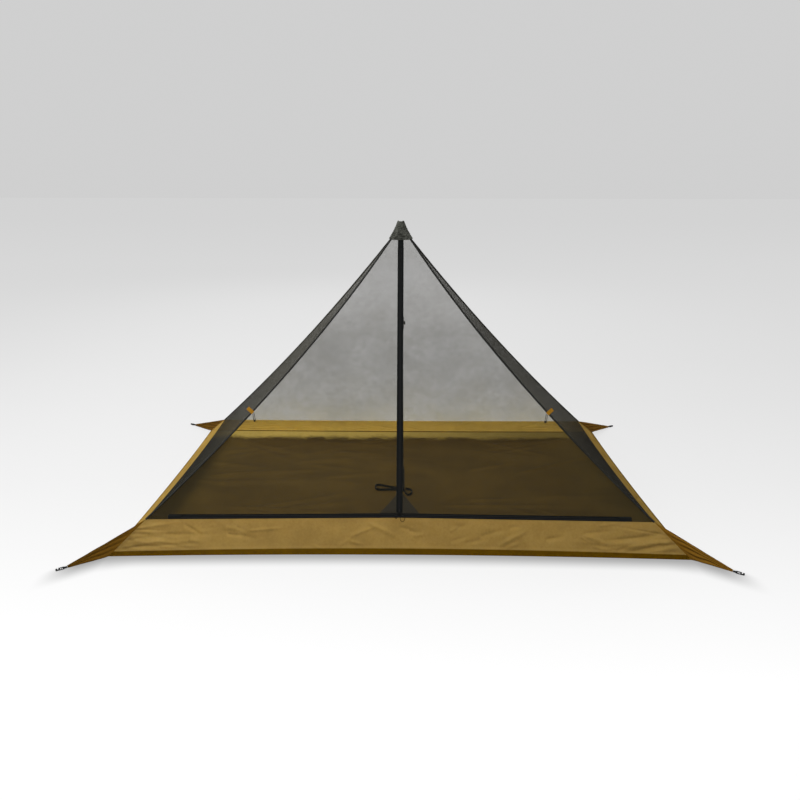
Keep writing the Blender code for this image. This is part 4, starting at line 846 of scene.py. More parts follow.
class TentColours(bpy.types.PropertyGroup):
    """Colours that a user would change, as linear light."""

    wall: colour_setting("Walls", "Coated cloth of the bathtub walls", 0.338, 0.211, 0.059)
    # Painted shade: the side walls take the walls' colour darkened, as they are lit less
    side_wall: colour_setting("Side walls", "Low side walls, seen aslant", 0.236, 0.143, 0.033)
    # Painted light: the rear wall's colour is paler than the walls', standing in for light that soaks
    # through it
    rear_wall: colour_setting("Rear wall", "Rear wall, which light soaks through", 0.58, 0.44, 0.21)
    hem: colour_setting("Hem", "Band along the foot of the walls", 0.110, 0.054, 0.0)
    seam: colour_setting("Rear seam", "Dark seam along the rear wall's foot", 0.050, 0.028, 0.004)
    floor: colour_setting("Floor", "Coated cloth of the floor", 0.131, 0.079, 0.0145)
    # Painted glow on the floor's rim, standing in for light that soaks through the walls
    floor_rim_painted_glow: colour_setting("Floor rim", "Light soaked through onto the floor's rim", 0.50, 0.36, 0.080)
    # The gussets' own orange-brown, darkened by painted shade, as they are lit less than the front wall
    gusset: colour_setting("Gussets", "Pleated corner cloth", 0.170, 0.083, 0.009)
    patch: colour_setting("Floor patch", "Reinforcement in front of the pole", 0.050, 0.041, 0.026)
    netting: colour_setting("Netting", "Threads of the netting", 0.042, 0.040, 0.031)
    # Painted glow of the threads, standing in for light from behind
    netting_painted_glow: colour_setting("Netting in light", "Glow of threads lit from behind", 0.46, 0.36, 0.045)
    binding: colour_setting("Binding", "Tape along the ridges", 0.020, 0.020, 0.018)
    zip_tape: colour_setting("Zip tape", "Tape of the zips", 0.006, 0.007, 0.007)
    zip_coil: colour_setting("Zip coil", "Teeth of the zips", 0.020, 0.020, 0.020)
    metal: colour_setting("Zip metal", "Painted metal of the sliders", 0.014, 0.014, 0.014)
    cap: colour_setting("Peak cap", "Crinkled cloth of the peak cap", 0.078, 0.080, 0.068)
    webbing: colour_setting("Webbing", "Tie-out tapes, straps and cords", 0.005, 0.006, 0.006)
    moulded: colour_setting("Moulded parts", "Buckles, hooks, clamp and lever", 0.006, 0.006, 0.006)
    tab: colour_setting("Tie tabs", "Tape of the door tie-backs", 0.36, 0.17, 0.010)
    carbon: colour_setting("Pole", "Tubes of the pole", 0.022, 0.022, 0.020)
    grip: colour_setting("Grip", "Foam of the pole's grip", 0.030, 0.030, 0.028)
    tip: colour_setting("Tip", "Metal of the pole's tip and pin", 0.45, 0.45, 0.43)


def sizes():
    """The scene's size settings."""
    return bpy.context.scene.tent_sizes


def colours():
    """The scene's colour settings."""
    return bpy.context.scene.tent_colours


def recipes():
    """Each material's maker and what it gets after the name."""
    shades = colours()
    hem = (shades.hem, sizes().hem_height)
    coat = {"creases": 14.0, "depth": 0.0016}
    return {
        "coated_wall": (cloth_finish, [shades.wall], dict(
            coat, roughness=0.50, contrast=0.32, hem=hem, glow=0.75)),
        "coated_side_wall": (cloth_finish, [shades.side_wall], dict(
            coat, roughness=0.60, contrast=0.32, hem=hem, glow=0.5, gloss=0.0)),
        "coated_rear_wall": (cloth_finish, [shades.rear_wall], dict(
            coat, roughness=0.50, contrast=0.20, hem=(shades.seam, SEAM_HEIGHT), glow=0.85)),
        "coated_floor": (cloth_finish, [shades.floor], dict(
            roughness=0.60, creases=7.0, depth=0.0030, contrast=0.28, edge=shades.floor_rim_painted_glow, gloss=0.02)),
        # The gussets' tone is mostly painted light and shade that follow the pleats
        "pleated_cloth": (cloth_finish, [shades.gusset], dict(
            roughness=0.55, creases=60.0, depth=0.0008, contrast=0.62, fine=0.15)),
        "patch_cloth": (cloth_finish, [shades.patch], dict(
            roughness=0.60, creases=30.0, depth=0.0008, contrast=0.2, ripstop=0.0)),
        # The cap's tone is half random mottle and half painted light and shade on its folds
        "cap_cloth": (cloth_finish, [shades.cap], dict(
            roughness=0.62, creases=60.0, depth=0.0040, contrast=0.95, ripstop=0.2, fine=0.5)),
        "fine_netting": (net_finish, [shades.netting, shades.netting_painted_glow, sizes().net_cover], {}),
        "ridge_tape": (tape_finish, [shades.binding, 0.0030], {}),
        "zip_tape": (tape_finish, [shades.zip_tape, 0.0090, 2.4], {"coil": shades.zip_coil}),
        "webbing_tape": (tape_finish, [shades.webbing, 0.0022, 2.2], {}),
        "tab_tape": (tape_finish, [shades.tab, 0.0030, 0.5], {}),
        "elastic_cord": (tape_finish, [shades.webbing, OFF_THE_TAPE, 1.5], {}),
        "painted_metal": (hard_finish, [shades.metal, 0.35, 0.6], {}),
        "moulded_plastic": (hard_finish, [shades.moulded, 0.50], {"gloss": 0.15}),
        "carbon_tube": (hard_finish, [shades.carbon, 0.30, 0.0, 0.00003, 14.0], {}),
        "foam_grip": (hard_finish, [shades.grip, 0.88, 0.0, 0.0003, 120.0], {}),
        "bare_metal": (hard_finish, [shades.tip, 0.30, 1.0], {}),
    }


def finish(name):
    """One of the named materials, made on first use."""
    if name not in FINISHES:
        maker, given, settings = recipes()[name]
        maker(name, *given, **settings)
    return FINISHES[name]


class TENT_OT_floor(bpy.types.Operator):
    """Makes the floor with its long soft wrinkles, and the patch in front of the pole."""

    bl_idname = "tent.floor"
    bl_label = "Floor"

    def execute(self, context):
        across, along = grid(190, 320)
        share_x, share_y = mix(-1, 1, along), mix(-1, 1, across)
        length = FLOOR_HALF_LENGTH - FLOOR_INSET - SIDE_FLOOR_BOW * (1 - share_y**2)
        bow = np.where(share_y < 0, FRONT_FLOOR_BOW, REAR_FLOOR_BOW) * (1 - share_x**2)
        x, y = share_x * length, share_y * (FLOOR_HALF_WIDTH - FLOOR_INSET - bow)
        rise = floor_rise(x, y)
        # The floor's painted light and shade follow its wrinkles
        lay_cloth("floor_cloth", "floor", np.stack([x, y, FLOOR_LEVEL + rise], axis=-1),
                  finish("coated_floor"), sizes().floor_cloth,
                  fold_and_painted_light=painted_light_from_rise(rise, FLOOR_PAINTED_LIGHT_RISE))
        across, along = grid(60, 50)
        y = mix(*PATCH_ENDS, across)
        x = mix(-1, 1, along) * mix(*PATCH_HALF_WIDTHS, across)
        points = np.stack([x, y, PATCH_LEVEL + floor_rise(x, y)], axis=-1)
        lay_cloth("floor_patch_cloth", "floor_patch", points, finish("patch_cloth"),
                  PATCH_CLOTH)
        return {"FINISHED"}


def painted_light_from_rise(rise, scale):
    """Painted light and shade from a rise, as a share: one half, plus half the hyperbolic tangent of
    how much higher a point is than the points below it in the grid and than the middle level."""
    slope = np.gradient(rise, axis=0)
    return 0.5 + 0.5 * np.tanh((rise - rise.mean()) / scale * 0.5 + slope / scale * 4)


def floor_lines():
    """The floor's creases: long low lines, mostly near to level or out of its corners."""
    chance = np.random.default_rng(21)
    count = 46
    angle = chance.normal(0.0, 0.30, count)
    corner = np.arange(count) % 4 == 0
    side = np.where(chance.random(count) < 0.5, LEFT, RIGHT)
    end = np.where(chance.random(count) < 0.6, REAR, FRONT)
    start_u = np.where(corner, side * 1.12, chance.uniform(-1.1, 0.7, count))
    start_v = np.where(corner, end * 0.62, chance.uniform(-0.60, 0.62, count))
    toward = np.arctan2(-end * chance.uniform(0.3, 0.75, count), -side * 1.0)
    angle = np.where(corner, toward, angle)
    length = np.where(corner, chance.uniform(0.5, 1.0, count), chance.uniform(0.25, 0.9, count))
    width = chance.uniform(0.010, 0.026, count)
    size = chance.uniform(0.35, 1.0, count)
    return np.stack([start_u, start_v, angle, length, width, size], axis=-1)


def floor_rise(x, y):
    """Height of the floor's wrinkles: long creases over slow swells, faded to nothing at the walls and
    where the pole stands."""
    waves = ripple((x, y), [(1.1, 2.3, 0.25), (-1.6, 2.0, 0.2), (0.7, 3.9, 0.2)], 5)
    folds = creases(x, y, floor_lines()) + np.clip(waves + 0.15, 0, 1)
    edge = np.clip((1.17 - np.abs(x)) / 0.10, 0, 1) * np.clip((0.675 - np.abs(y)) / 0.06, 0, 1)
    pole = np.clip((np.hypot(x - POLE_FOOT[0], y - POLE_FOOT[1]) - 0.17) / 0.10, 0, 1)
    return sizes().floor_wrinkle * np.clip(folds, 0, 1.6) * edge * pole


def wall_lines(length, seed):
    """A wall's creases, as rows of start, angle, length, width and size: a fan out of each corner,
    nearly level, and short slanting ones between them."""
    chance = np.random.default_rng(seed)
    fan, loose = 30, int(30 * length)
    side = np.where(np.arange(fan) % 2 == 0, LEFT, RIGHT)
    start_u = np.concatenate([
        side * (length - chance.uniform(0.02, 0.10, fan)), chance.uniform(-0.95, 0.95, loose) * length])
    start_v = np.concatenate([chance.uniform(0.020, 0.085, fan), chance.uniform(0.015, 0.105, loose)])
    lean = chance.uniform(-0.20, 0.14, fan)
    fan_angle = np.where(side == LEFT, lean, math.pi - lean)
    inward = np.where(start_u[fan:] < 0, -1, 1) * np.where(chance.random(loose) < 0.8, 1, -1)
    loose_angle = inward * chance.uniform(0.05, 0.42, loose)
    run = np.concatenate([chance.uniform(0.18, 0.60, fan), chance.uniform(0.05, 0.20, loose)])
    width = np.concatenate([chance.uniform(0.0035, 0.0075, fan), chance.uniform(0.0035, 0.0080, loose)])
    size = chance.uniform(0.4, 1.0, fan + loose) * np.where(chance.random(fan + loose) < 0.6, 1, -1)
    return np.stack([start_u, start_v, np.concatenate([fan_angle, loose_angle]), run, width, size], axis=-1)


def tension(places, height, length, seed):
    """Wall wrinkles: the corner fans and slanting creases over a slow wave, all faded to nothing at
    the wall's upper and lower edges."""
    rise = height / WALL_HEIGHT
    fade = np.clip(5 * rise * (1 - rise), 0, 1)
    waves = ripple((places, height), [(1.3, 7.0, 0.20), (-1.9, 9.0, 0.15)], seed)
    return (waves + creases(places, height, wall_lines(length, seed))) * fade


class TENT_OT_walls(bpy.types.Operator):
    """Makes the four walls of the bathtub, with wrinkles that run from their corners."""

    bl_idname = "tent.walls"
    bl_label = "Walls"

    def execute(self, context):
        depth = sizes().wall_wrinkle
        for name, shape, side, columns, length, seed, material in (
                ("front_wall", long_wall_points, FRONT, 900, FLOOR_HALF_LENGTH, 2, "coated_wall"),
                ("rear_wall", long_wall_points, REAR, 900, FLOOR_HALF_LENGTH, 4, "coated_rear_wall"),
                ("left_wall", short_wall_points, LEFT, 520, FLOOR_HALF_WIDTH, 7, "coated_side_wall"),
                ("right_wall", short_wall_points, RIGHT, 520, FLOOR_HALF_WIDTH, 9, "coated_side_wall")):
            out = 1 if shape is long_wall_points else 0
            rise, along = grid(44, columns)
            height = WALL_FOOT + rise * (WALL_HEIGHT - WALL_TRIM)
            points = shape(side, mix(-1, 1, along), height)
            moved = tension(points[..., 1 - out], height, length, seed) * depth
            points[..., out] += side * moved
            # Each wall's painted light and shade follow its wrinkles
            lay_cloth(name + "_cloth", name, points, finish(material), sizes().wall_cloth,
                      fold_and_painted_light=painted_light_from_rise(moved, -depth))
        return {"FINISHED"}


def slack(share, rise, seed):
    """Netting ripples: slow waves along a panel's share and rise, faded to nothing at its edges."""
    waves = ripple((share, rise), [(1.0, 1.6, 0.7), (2.1, -1.2, 0.4), (3.3, 2.7, 0.25)], seed)
    return waves * np.clip(4 * share * (1 - share), 0, 1) * np.clip(4 * rise * (1 - rise), 0, 1)


class TENT_OT_netting(bpy.types.Operator):
    """Makes the netting: left, right and rear panels, the strips beside the doors, and the doors."""

    bl_idname = "tent.netting"
    bl_label = "Netting"

    def execute(self, context):
        foot, head = WALL_HEIGHT + EDGE_GAP, RIM_HEIGHT + UNDER_CAP
        depth = sizes().net_wrinkle
        rows, along = grid(72, 60)
        height = mix(foot, head, rows)
        for side, name in SIDES:
            points = side_mesh_points(side, along, height)
            points[..., 0] += side * slack(along, rows, 20 + side) * depth
            self.lay_net(name + "_mesh", points, ["ridge_front_" + name, "ridge_rear_" + name])
        points = rear_mesh_points(mix(-1, 1, along), height)
        points[..., 1] += slack(along, rows, 31) * depth
        # The rear netting's painted glow is strongest at its foot and faint above
        self.lay_net("rear_mesh", points, ["ridge_rear_left", "ridge_rear_right"],
                     fold_and_painted_light=0.54 + 0.235 * (1 - rows) ** 7)
        for side, name in SIDES:
            levels = np.linspace(SILL_ZIP_TOP + 0.010, DOOR_TOP - EDGE_GAP, 70)
            corner = [foot, SILL_ZIP_TOP + TIGHT_GAP, SILL_ZIP_TOP + 3 * TIGHT_GAP]
            levels = np.concatenate([corner, levels])
            height, along = np.meshgrid(levels, np.linspace(0, 1, 5), indexing="ij")
            on_sill = height < SILL_ZIP_TOP + 2 * TIGHT_GAP
            inner = np.where(on_sill, SILL_HALF_LENGTH + EDGE_GAP, hinge_across(height) + TIGHT_GAP)
            outer = ridge_corner(FRONT_BOW_SHARE, height)[0] - SEAM_GAP
            points = front_points(side * mix(inner, outer, along), height)
            self.lay_net(name + "_front_margin", points, ["ridge_front_" + name], name + "_margin_net")
            rows, along = grid(84, 60)
            height = mix(SILL_ZIP_TOP + EDGE_GAP, DOOR_TOP, rows)
            across = mix(DOOR_NET_EDGE, hinge_across(height) - TIGHT_GAP, along)
            points = front_points(side * across, height, slack(along, rows, 40 + side) * depth)
            edges = [name + "_door_zip", name + "_front_margin"]
            self.lay_net(name + "_door", points, edges, body=name + "_door")
        rows, along = grid(6, 30)
        height = mix(DOOR_TOP + EDGE_GAP, head, rows)
        half = ridge_corner(FRONT_BOW_SHARE, height)[0] - SEAM_GAP
        points = front_points(mix(-1, 1, along) * half, height)
        self.lay_net("front_top_panel", points, ["ridge_front_left", "ridge_front_right"], "front_top_net")
        return {"FINISHED"}

    def lay_net(self, node, points, rests_on, name=None, body="tent", fold_and_painted_light=None):
        """One stretched panel of netting in a CAD node's place."""
        lay_cloth(name or node + "_net", node, points, finish("fine_netting"), sizes().net_cloth,
                  body, fold_and_painted_light)


class TENT_OT_bindings(bpy.types.Operator):
    """Makes the folded tape that binds each of the four ridges."""

    bl_idname = "tent.bindings"
    bl_label = "Ridge bindings"

    def execute(self, context):
        for end, side, corner in CORNERS:
            height = np.linspace(WALL_HEIGHT + EDGE_GAP, RIM_HEIGHT + UNDER_CAP, 180)
            share = FRONT_BOW_SHARE if end == FRONT else REAR_BOW_SHARE
            half_length, half_width = ridge_corner(share, height)
            path = np.stack([side * half_length, end * half_width, height], axis=-1)
            flat = unit(np.broadcast_to(np.array([side, -end, 0.0]), path.shape))
            tangent = unit(np.gradient(path, axis=0))
            across = flat - tangent * (flat * tangent).sum(axis=-1, keepdims=True)
            rings = ribbon_rings(path, across, *RIDGE_TAPE)
            rings = rings + 0.00025 * np.sin(height * 900)[:, None, None] * unit(across)[:, None]
            piece = add_tube("ridge_" + corner + "_tape", rings, finish("ridge_tape"))
            place_piece(piece, "tent", "ridge_" + corner)
        return {"FINISHED"}


def zip_sheet(name, body, points, thickness, node=None):
    """A strip of a zip. In a zip half, the coil runs along the first column with the tape beside it."""
    piece = add_sheet(name, points, finish("zip_tape"), thickness)
    place_piece(piece, body, node)


def coil_profile(run, coil_width, tape_width):
    """Places across a zip half from its coil's edge, and thicknesses: a half round over the coil
    whose height swells and shrinks once a pitch along the run, then the thin tape."""
    share = np.array([0, 0.18, 0.5, 0.82, 1.0])
    beside = coil_width + np.array([0.0002, 0.5, 0.97, 1.0]) * tape_width
    places = np.concatenate([share * coil_width, beside])
    round_part = 0.0011 + 0.0015 * np.sqrt(np.clip(4 * share * (1 - share), 0, 1))
    turns = 0.5 + 0.5 * np.cos(2 * np.pi * run / sizes().coil_pitch)
    coil = round_part[None, :] * (0.62 + 0.38 * turns[:, None])
    tape = np.full((len(run), 4), THIN_TAPE)
    return places, np.concatenate([coil, tape], axis=1)


class TENT_OT_zips(bpy.types.Operator):
    """Makes the zip halves on the doors and on the front wall, with their coils, and the pulls."""

    bl_idname = "tent.zips"
    bl_label = "Zips"

    def execute(self, context):
        for side, name in SIDES:
            body = name + "_door"
            run = np.linspace(DOOR_ZIP_FOOT, DOOR_TOP, 1320)
            places, thickness = coil_profile(run, *DOOR_ZIP_WIDTHS)
            across = np.broadcast_to(side * (DOOR_ZIP_GAP + places), thickness.shape)
            points = front_points(across, np.broadcast_to(run[:, None], thickness.shape))
            zip_sheet(name + "_door_zip_tape", body, points, thickness, name + "_door_zip")
            places, thickness = coil_profile(np.linspace(0, SILL_COIL_RUN, 1130), *SILL_ZIP_WIDTHS)
            height = np.broadcast_to(SILL_UPPER_EDGE + places, thickness.shape)
            share = np.linspace(0, 1, len(thickness))[:, None]
            across = mix(SILL_ZIP_START, hinge_across(height) - TIGHT_GAP, share)
            points = front_points(side * across, height)
            zip_sheet(name + "_sill_zip_tape", body, points, thickness, name + "_sill_zip")
        run = np.linspace(-SILL_HALF_LENGTH, SILL_HALF_LENGTH, 2450)
        places, thickness = coil_profile(run, *SILL_ZIP_WIDTHS)
        patch = (np.abs(run) >= HINGE_FOOT + 2 * TIGHT_GAP)[:, None]
        flat = mix(SILL_ZIP_TOP, SILL_LOWER_FOOT, places / places[-1])
        height = np.where(patch, flat, SILL_LOWER_EDGE - places)
        points = front_points(np.broadcast_to(run[:, None], height.shape), height)
        thickness = np.where(patch, THIN_TAPE, thickness)
        zip_sheet("sill_zip_lower_tape", "tent", points, thickness, "sill_zip_lower")
        self.backings()
        for node in ("door_slider", "left_sill_slider", "right_sill_slider"):
            dress_node(node, finish("painted_metal"))
        for node, diameter in PULL_CORDS.items():
            piece = add_tube(node + "_cord", pull_loop(node, diameter), finish("elastic_cord"), closed=True)
            place_piece(piece, node, node)
        return {"FINISHED"}

    def backings(self):
        """The thin tapes sewn behind the zips, which close the gap between their coils: one on the
        left door behind the door zip, and one on the front wall behind the sill zip, whose ends bend
        back from the sliders. A third runs on from the door zip's head up to the peak cap, over the
        panel above the doors."""
        rows, along = grid(160, 9)
        height = mix(SILL_ZIP_TOP + 0.001, DOOR_TOP, rows)
        points = front_points(mix(-1, 1, along) * BACKING_HALF_WIDTH, height, -BACKING_DEPTH)
        zip_sheet("door_zip_guard", "left_door", points, BACKING_TAPE)
        rows, along = grid(12, 9)
        height = mix(DOOR_TOP + 2 * EDGE_GAP, RIM_HEIGHT + UNDER_CAP, rows)
        points = front_points(mix(-1, 1, along) * HEAD_HALF_WIDTH, height, HEAD_FORWARDS)
        zip_sheet("zip_head_tape", "tent", points, THIN_TAPE)
        rows, along = grid(160, 7)
        behind = -BACKING_DEPTH - BACKING_BEND * np.abs(2 * rows - 1) ** 6
        across = mix(-1, 1, rows) * SILL_BACKING_HALF_LENGTH
        points = front_points(across, mix(*SILL_BACKING_HEIGHTS, along), behind)
        zip_sheet("sill_zip_guard", "tent", points, BACKING_TAPE)


def tube_rings(path, normal, radius):
    """Rings round a closed path in a plane: the radius times the cosine along the plane's normal
    and times the sine along the cross product of the path's direction with it."""
    tangent = unit(np.roll(path, -1, axis=0) - np.roll(path, 1, axis=0))
    side = unit(np.cross(tangent, normal))
    angle = np.linspace(0, 2 * np.pi, 12, endpoint=False)[:, None]
    return path[:, None] + radius * (np.cos(angle) * unit(normal) + np.sin(angle) * side[:, None])


def pull_loop(node, diameter):
    """A pull's cord loop: an ellipse across X and along the slope between its box's upper back and
    lower front edges."""
    low, high = (np.array(corner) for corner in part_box(node))
    middle = (low + high) / 2
    reach = (high - low) / 2 - diameter / 2
    angle = np.linspace(0, 2 * np.pi, 72, endpoint=False)[:, None]
    drop = np.array([0, reach[1], reach[2]])
    path = middle + np.sin(angle) * np.array([reach[0], 0, 0]) + np.cos(angle) * drop
    return tube_rings(path, np.array([0, -reach[2], reach[1]]), diameter / 2)


class TENT_OT_peak_cap(bpy.types.Operator):
    """Makes the crinkled cap on the peak, with its lobed rim and the two bumps on its crown."""

    bl_idname = "tent.peak_cap"
    bl_label = "Peak cap"

    def execute(self, context):
        angle = np.linspace(0, 2 * np.pi, 240, endpoint=False)[None, :]
        outer, painted_light = self.skirt(angle, np.linspace(0, 1, 64)[:, None], 0.0)
        inner, _ = self.skirt(angle, np.linspace(0, 0.88, 48)[:, None], CAP_THICKNESS)
        crown = self.crown(angle, np.array([0.97, 0.90, 0.78, 0.62, 0.45, 0.25, 0.04])[:, None])
        shrink = np.array([0.04, 0.5, 0.95])[:, None, None]
        middle = np.array([0.0, 0.0, CAP_CEILING])
        ceiling = middle + (inner[-1] - middle) * shrink
        ceiling[..., 2] = middle[2]
        rings = np.concatenate([ceiling, inner[::-1], outer, crown])
        # Painted light and shade on the outer skirt's folds; the lining and crown stay even
        fold_and_painted_light = np.full(rings.shape[:2], EVEN_PAINTED_LIGHT)
        fold_and_painted_light[len(ceiling) + len(inner):-len(crown)] = painted_light
        piece = add_tube("peak_cap_cloth", rings, finish("cap_cloth"), degrees=60, fold_and_painted_light=fold_and_painted_light)
        place_piece(piece, "tent", "peak_cap")
        return {"FINISHED"}

    def skirt(self, angle, share, inset):
        """The cap's side from rim to crown: each level is a superellipse, moved in and out by upright
        folds that fade towards the crown and by finer crinkles. Its rim hangs lowest halfway along
        each side and rises towards the ridges. Returns the points and the painted light and shade that
        follow its folds."""
        power = np.interp(share, CAP_LEVELS, CAP_POWERS)
        length = np.interp(share, CAP_LEVELS, CAP_HALF_LENGTHS) - inset
        width = np.interp(share, CAP_LEVELS, CAP_HALF_WIDTHS) - inset
        folds = 0.55 * np.sin(9 * angle + 0.7) + 0.45 * np.sin(14 * angle + 2.1) + 0.3 * np.sin(23 * angle)
        waves = [(17, 2.5, 0.25), (-26, 4.2, 0.22), (9, -6.5, 0.28), (5, 9.5, 0.25), (33, 7, 0.15)]
        fine = ripple((angle / (2 * np.pi) + 0 * share, share + 0 * angle), waves, 12)
        wave = 0.6 * folds * (1 - 0.75 * share) + 0.9 * fine
        moved = CAP_CREASE * wave * np.clip((1 - share) * 8, 0, 1)
        x, y = superellipse(angle, length + moved, width + moved, power)
        along = np.abs(np.cos(angle))**0.75
        lobes = CAP_LOBE * along + CAP_RIM_DROP + CAP_SCALLOP * np.sin(11 * angle)
        height = mix(RIM_HEIGHT, PEAK_HEIGHT - CAP_TRIM, share) + lobes * (1 - share)**3
        return np.stack([x, y, height], axis=-1), 0.5 + 0.5 * np.tanh(1.6 * wave)

    def crown(self, angle, size):
        """The crown: rings that shrink to its middle, which dips between two bumps near its edge."""
        x, y = superellipse(angle, CROWN_HALF_WIDTH * size, CROWN_HALF_WIDTH * size, CAP_POWERS[-1])
        near = np.exp(-((size - 0.72) / 0.30)**2) * np.abs(np.cos(angle))**4
        level = PEAK_HEIGHT + CROWN_BUMP * near - CROWN_DIP
        return np.stack([x, y, level + 0 * x], axis=-1)


def corner_axes(side, end):
    """A corner's tie-out point on the ground, and the directions out from it and across it."""
    outward = np.array([side * TIP_REACH_LONG, end * TIP_REACH_SHORT, 0.0])
    foot = np.array([side * FLOOR_HALF_LENGTH, end * FLOOR_HALF_WIDTH, 0.0])
    return foot + outward, unit(outward), unit(np.array([-outward[1], outward[0], 0.0]))


def wall_corner(side, end, height):
    """A corner of the bathtub walls at a height."""
    half_length, half_width = wall_half_size(height)
    return np.array([side * half_length, end * half_width, height])


class TENT_OT_gussets(bpy.types.Operator):
    """Makes the pleated gussets that run from the wall corners out to the tie-out points."""

    bl_idname = "tent.gussets"
    bl_label = "Corner gussets"

    def execute(self, context):
        count = sizes().pleats
        reach, share = grid(60, 16 * count + 1)
        bend = share + 0.04 * ripple((share, reach), [(0.7, 1.3, 0.6), (-1.1, 2.1, 0.4)], 50)
        fold_and_painted_light = 1 - 2 * np.abs(np.cos(np.pi * count * bend))**5
        depth = mix(*PLEAT_DEPTHS, reach) * np.minimum(1, 5 * reach)
        wander = 0.0010 * ripple((share, reach), [(2, 1.5, 0.6), (-3, 2.5, 0.4)], 50)
        wander = wander * reach * (1 - reach) * 4
        # Painted light and shade that follow the pleats, slightly paler and even near the wall corner
        painted_light = mix(0.62, 0.5 + 0.42 * fold_and_painted_light, np.minimum(1, 3 * reach + 0.15))
        for end, side, corner in CORNERS:
            tip, outward, across = corner_axes(side, end)
            edges = []
            for height, tip_height in ((GUSSET_SEAM, GUSSET_SEAM), (WALL_HEIGHT - GUSSET_SEAM, GUSSET_TIP)):
                start = wall_corner(side, end, height) + outward * GUSSET_SEAM
                edges.append(mix(start, tip + [0, 0, tip_height], reach[..., None]))
            points = mix(*edges, share[..., None]) + (wander - depth / 2 * fold_and_painted_light)[..., None] * across
            lay_cloth("gusset_" + corner + "_cloth", "gusset_" + corner, points, finish("pleated_cloth"),
                      GUSSET_CLOTH, fold_and_painted_light=painted_light)
        return {"FINISHED"}


def arc(outward, middle):
    """Points of the tie-out tape's turn round the buckle's bar, in the corner's upright plane."""
    angle = np.radians(np.linspace(-150, 150, 28))[:, None]
    return middle + WEBBING_RADIUS * (np.cos(angle) * outward + np.sin(angle) * np.array([0, 0, 1.0]))


class TENT_OT_corner_fittings(bpy.types.Operator):
    """Makes the tie-out tapes, and finishes the buckles and hooks."""

    bl_idname = "tent.corner_fittings"
    bl_label = "Corner fittings"

    def execute(self, context):
        seam = np.array([0, 0, WEBBING_APART])
        share = np.linspace(0, 1, 12, endpoint=False)[:, None]
        for end, side, corner in CORNERS:
            tip, outward, across = corner_axes(side, end)
            bar = tip + outward * BUCKLE_BAR + [0, 0, HARDWARE_HEIGHT]
            root = tip + outward * WEBBING_START + [0, 0, HARDWARE_HEIGHT]
            neck = bar - outward * (2 * WEBBING_RADIUS)
            under = mix(root - seam, neck - seam, share)
            over = mix(root + seam, neck + seam, share)[::-1]
            path = np.concatenate([under, arc(outward, bar), over])
            rings = ribbon_rings(path, across, WEBBING_WIDTH, FOLDED_TAPE)
            piece = add_tube("webbing_" + corner + "_tape", rings, finish("webbing_tape"))
            place_piece(piece, "tent", "webbing_" + corner)
            dress_node("buckle_" + corner, finish("moulded_plastic"))
            dress_node("hook_" + corner, finish("moulded_plastic"))
        return {"FINISHED"}


def tie_axes(side):
    """A tie-back's place on its ridge, and the directions up the ridge, off it and out of the front:
    the last is the cross product of the front cloth's across and up directions."""
    heights = np.array(TIE_RIDGE_HEIGHTS)
    half_length, half_width = ridge_corner(FRONT_BOW_SHARE, heights)
    places = np.stack([side * half_length, -half_width, heights], axis=-1)
    run = unit(places[1] - places[0])
    reach = side * TIE_ACROSS
    spots = front_points(np.array([reach, reach]), np.array([TIE_BUTTON_HEIGHT, TIE_RIDGE_HEIGHTS[0]]))
    middle = front_points(np.array([0.0, reach]), np.array([TIE_CLOTH_HEIGHT, TIE_CLOTH_HEIGHT]))
    out = unit(np.cross(unit(middle[1] - middle[0]) * side, unit(spots[1] - spots[0])))
    off = unit(np.cross(run, out))
    return places[0], run, off * np.sign(off[0] * side), out


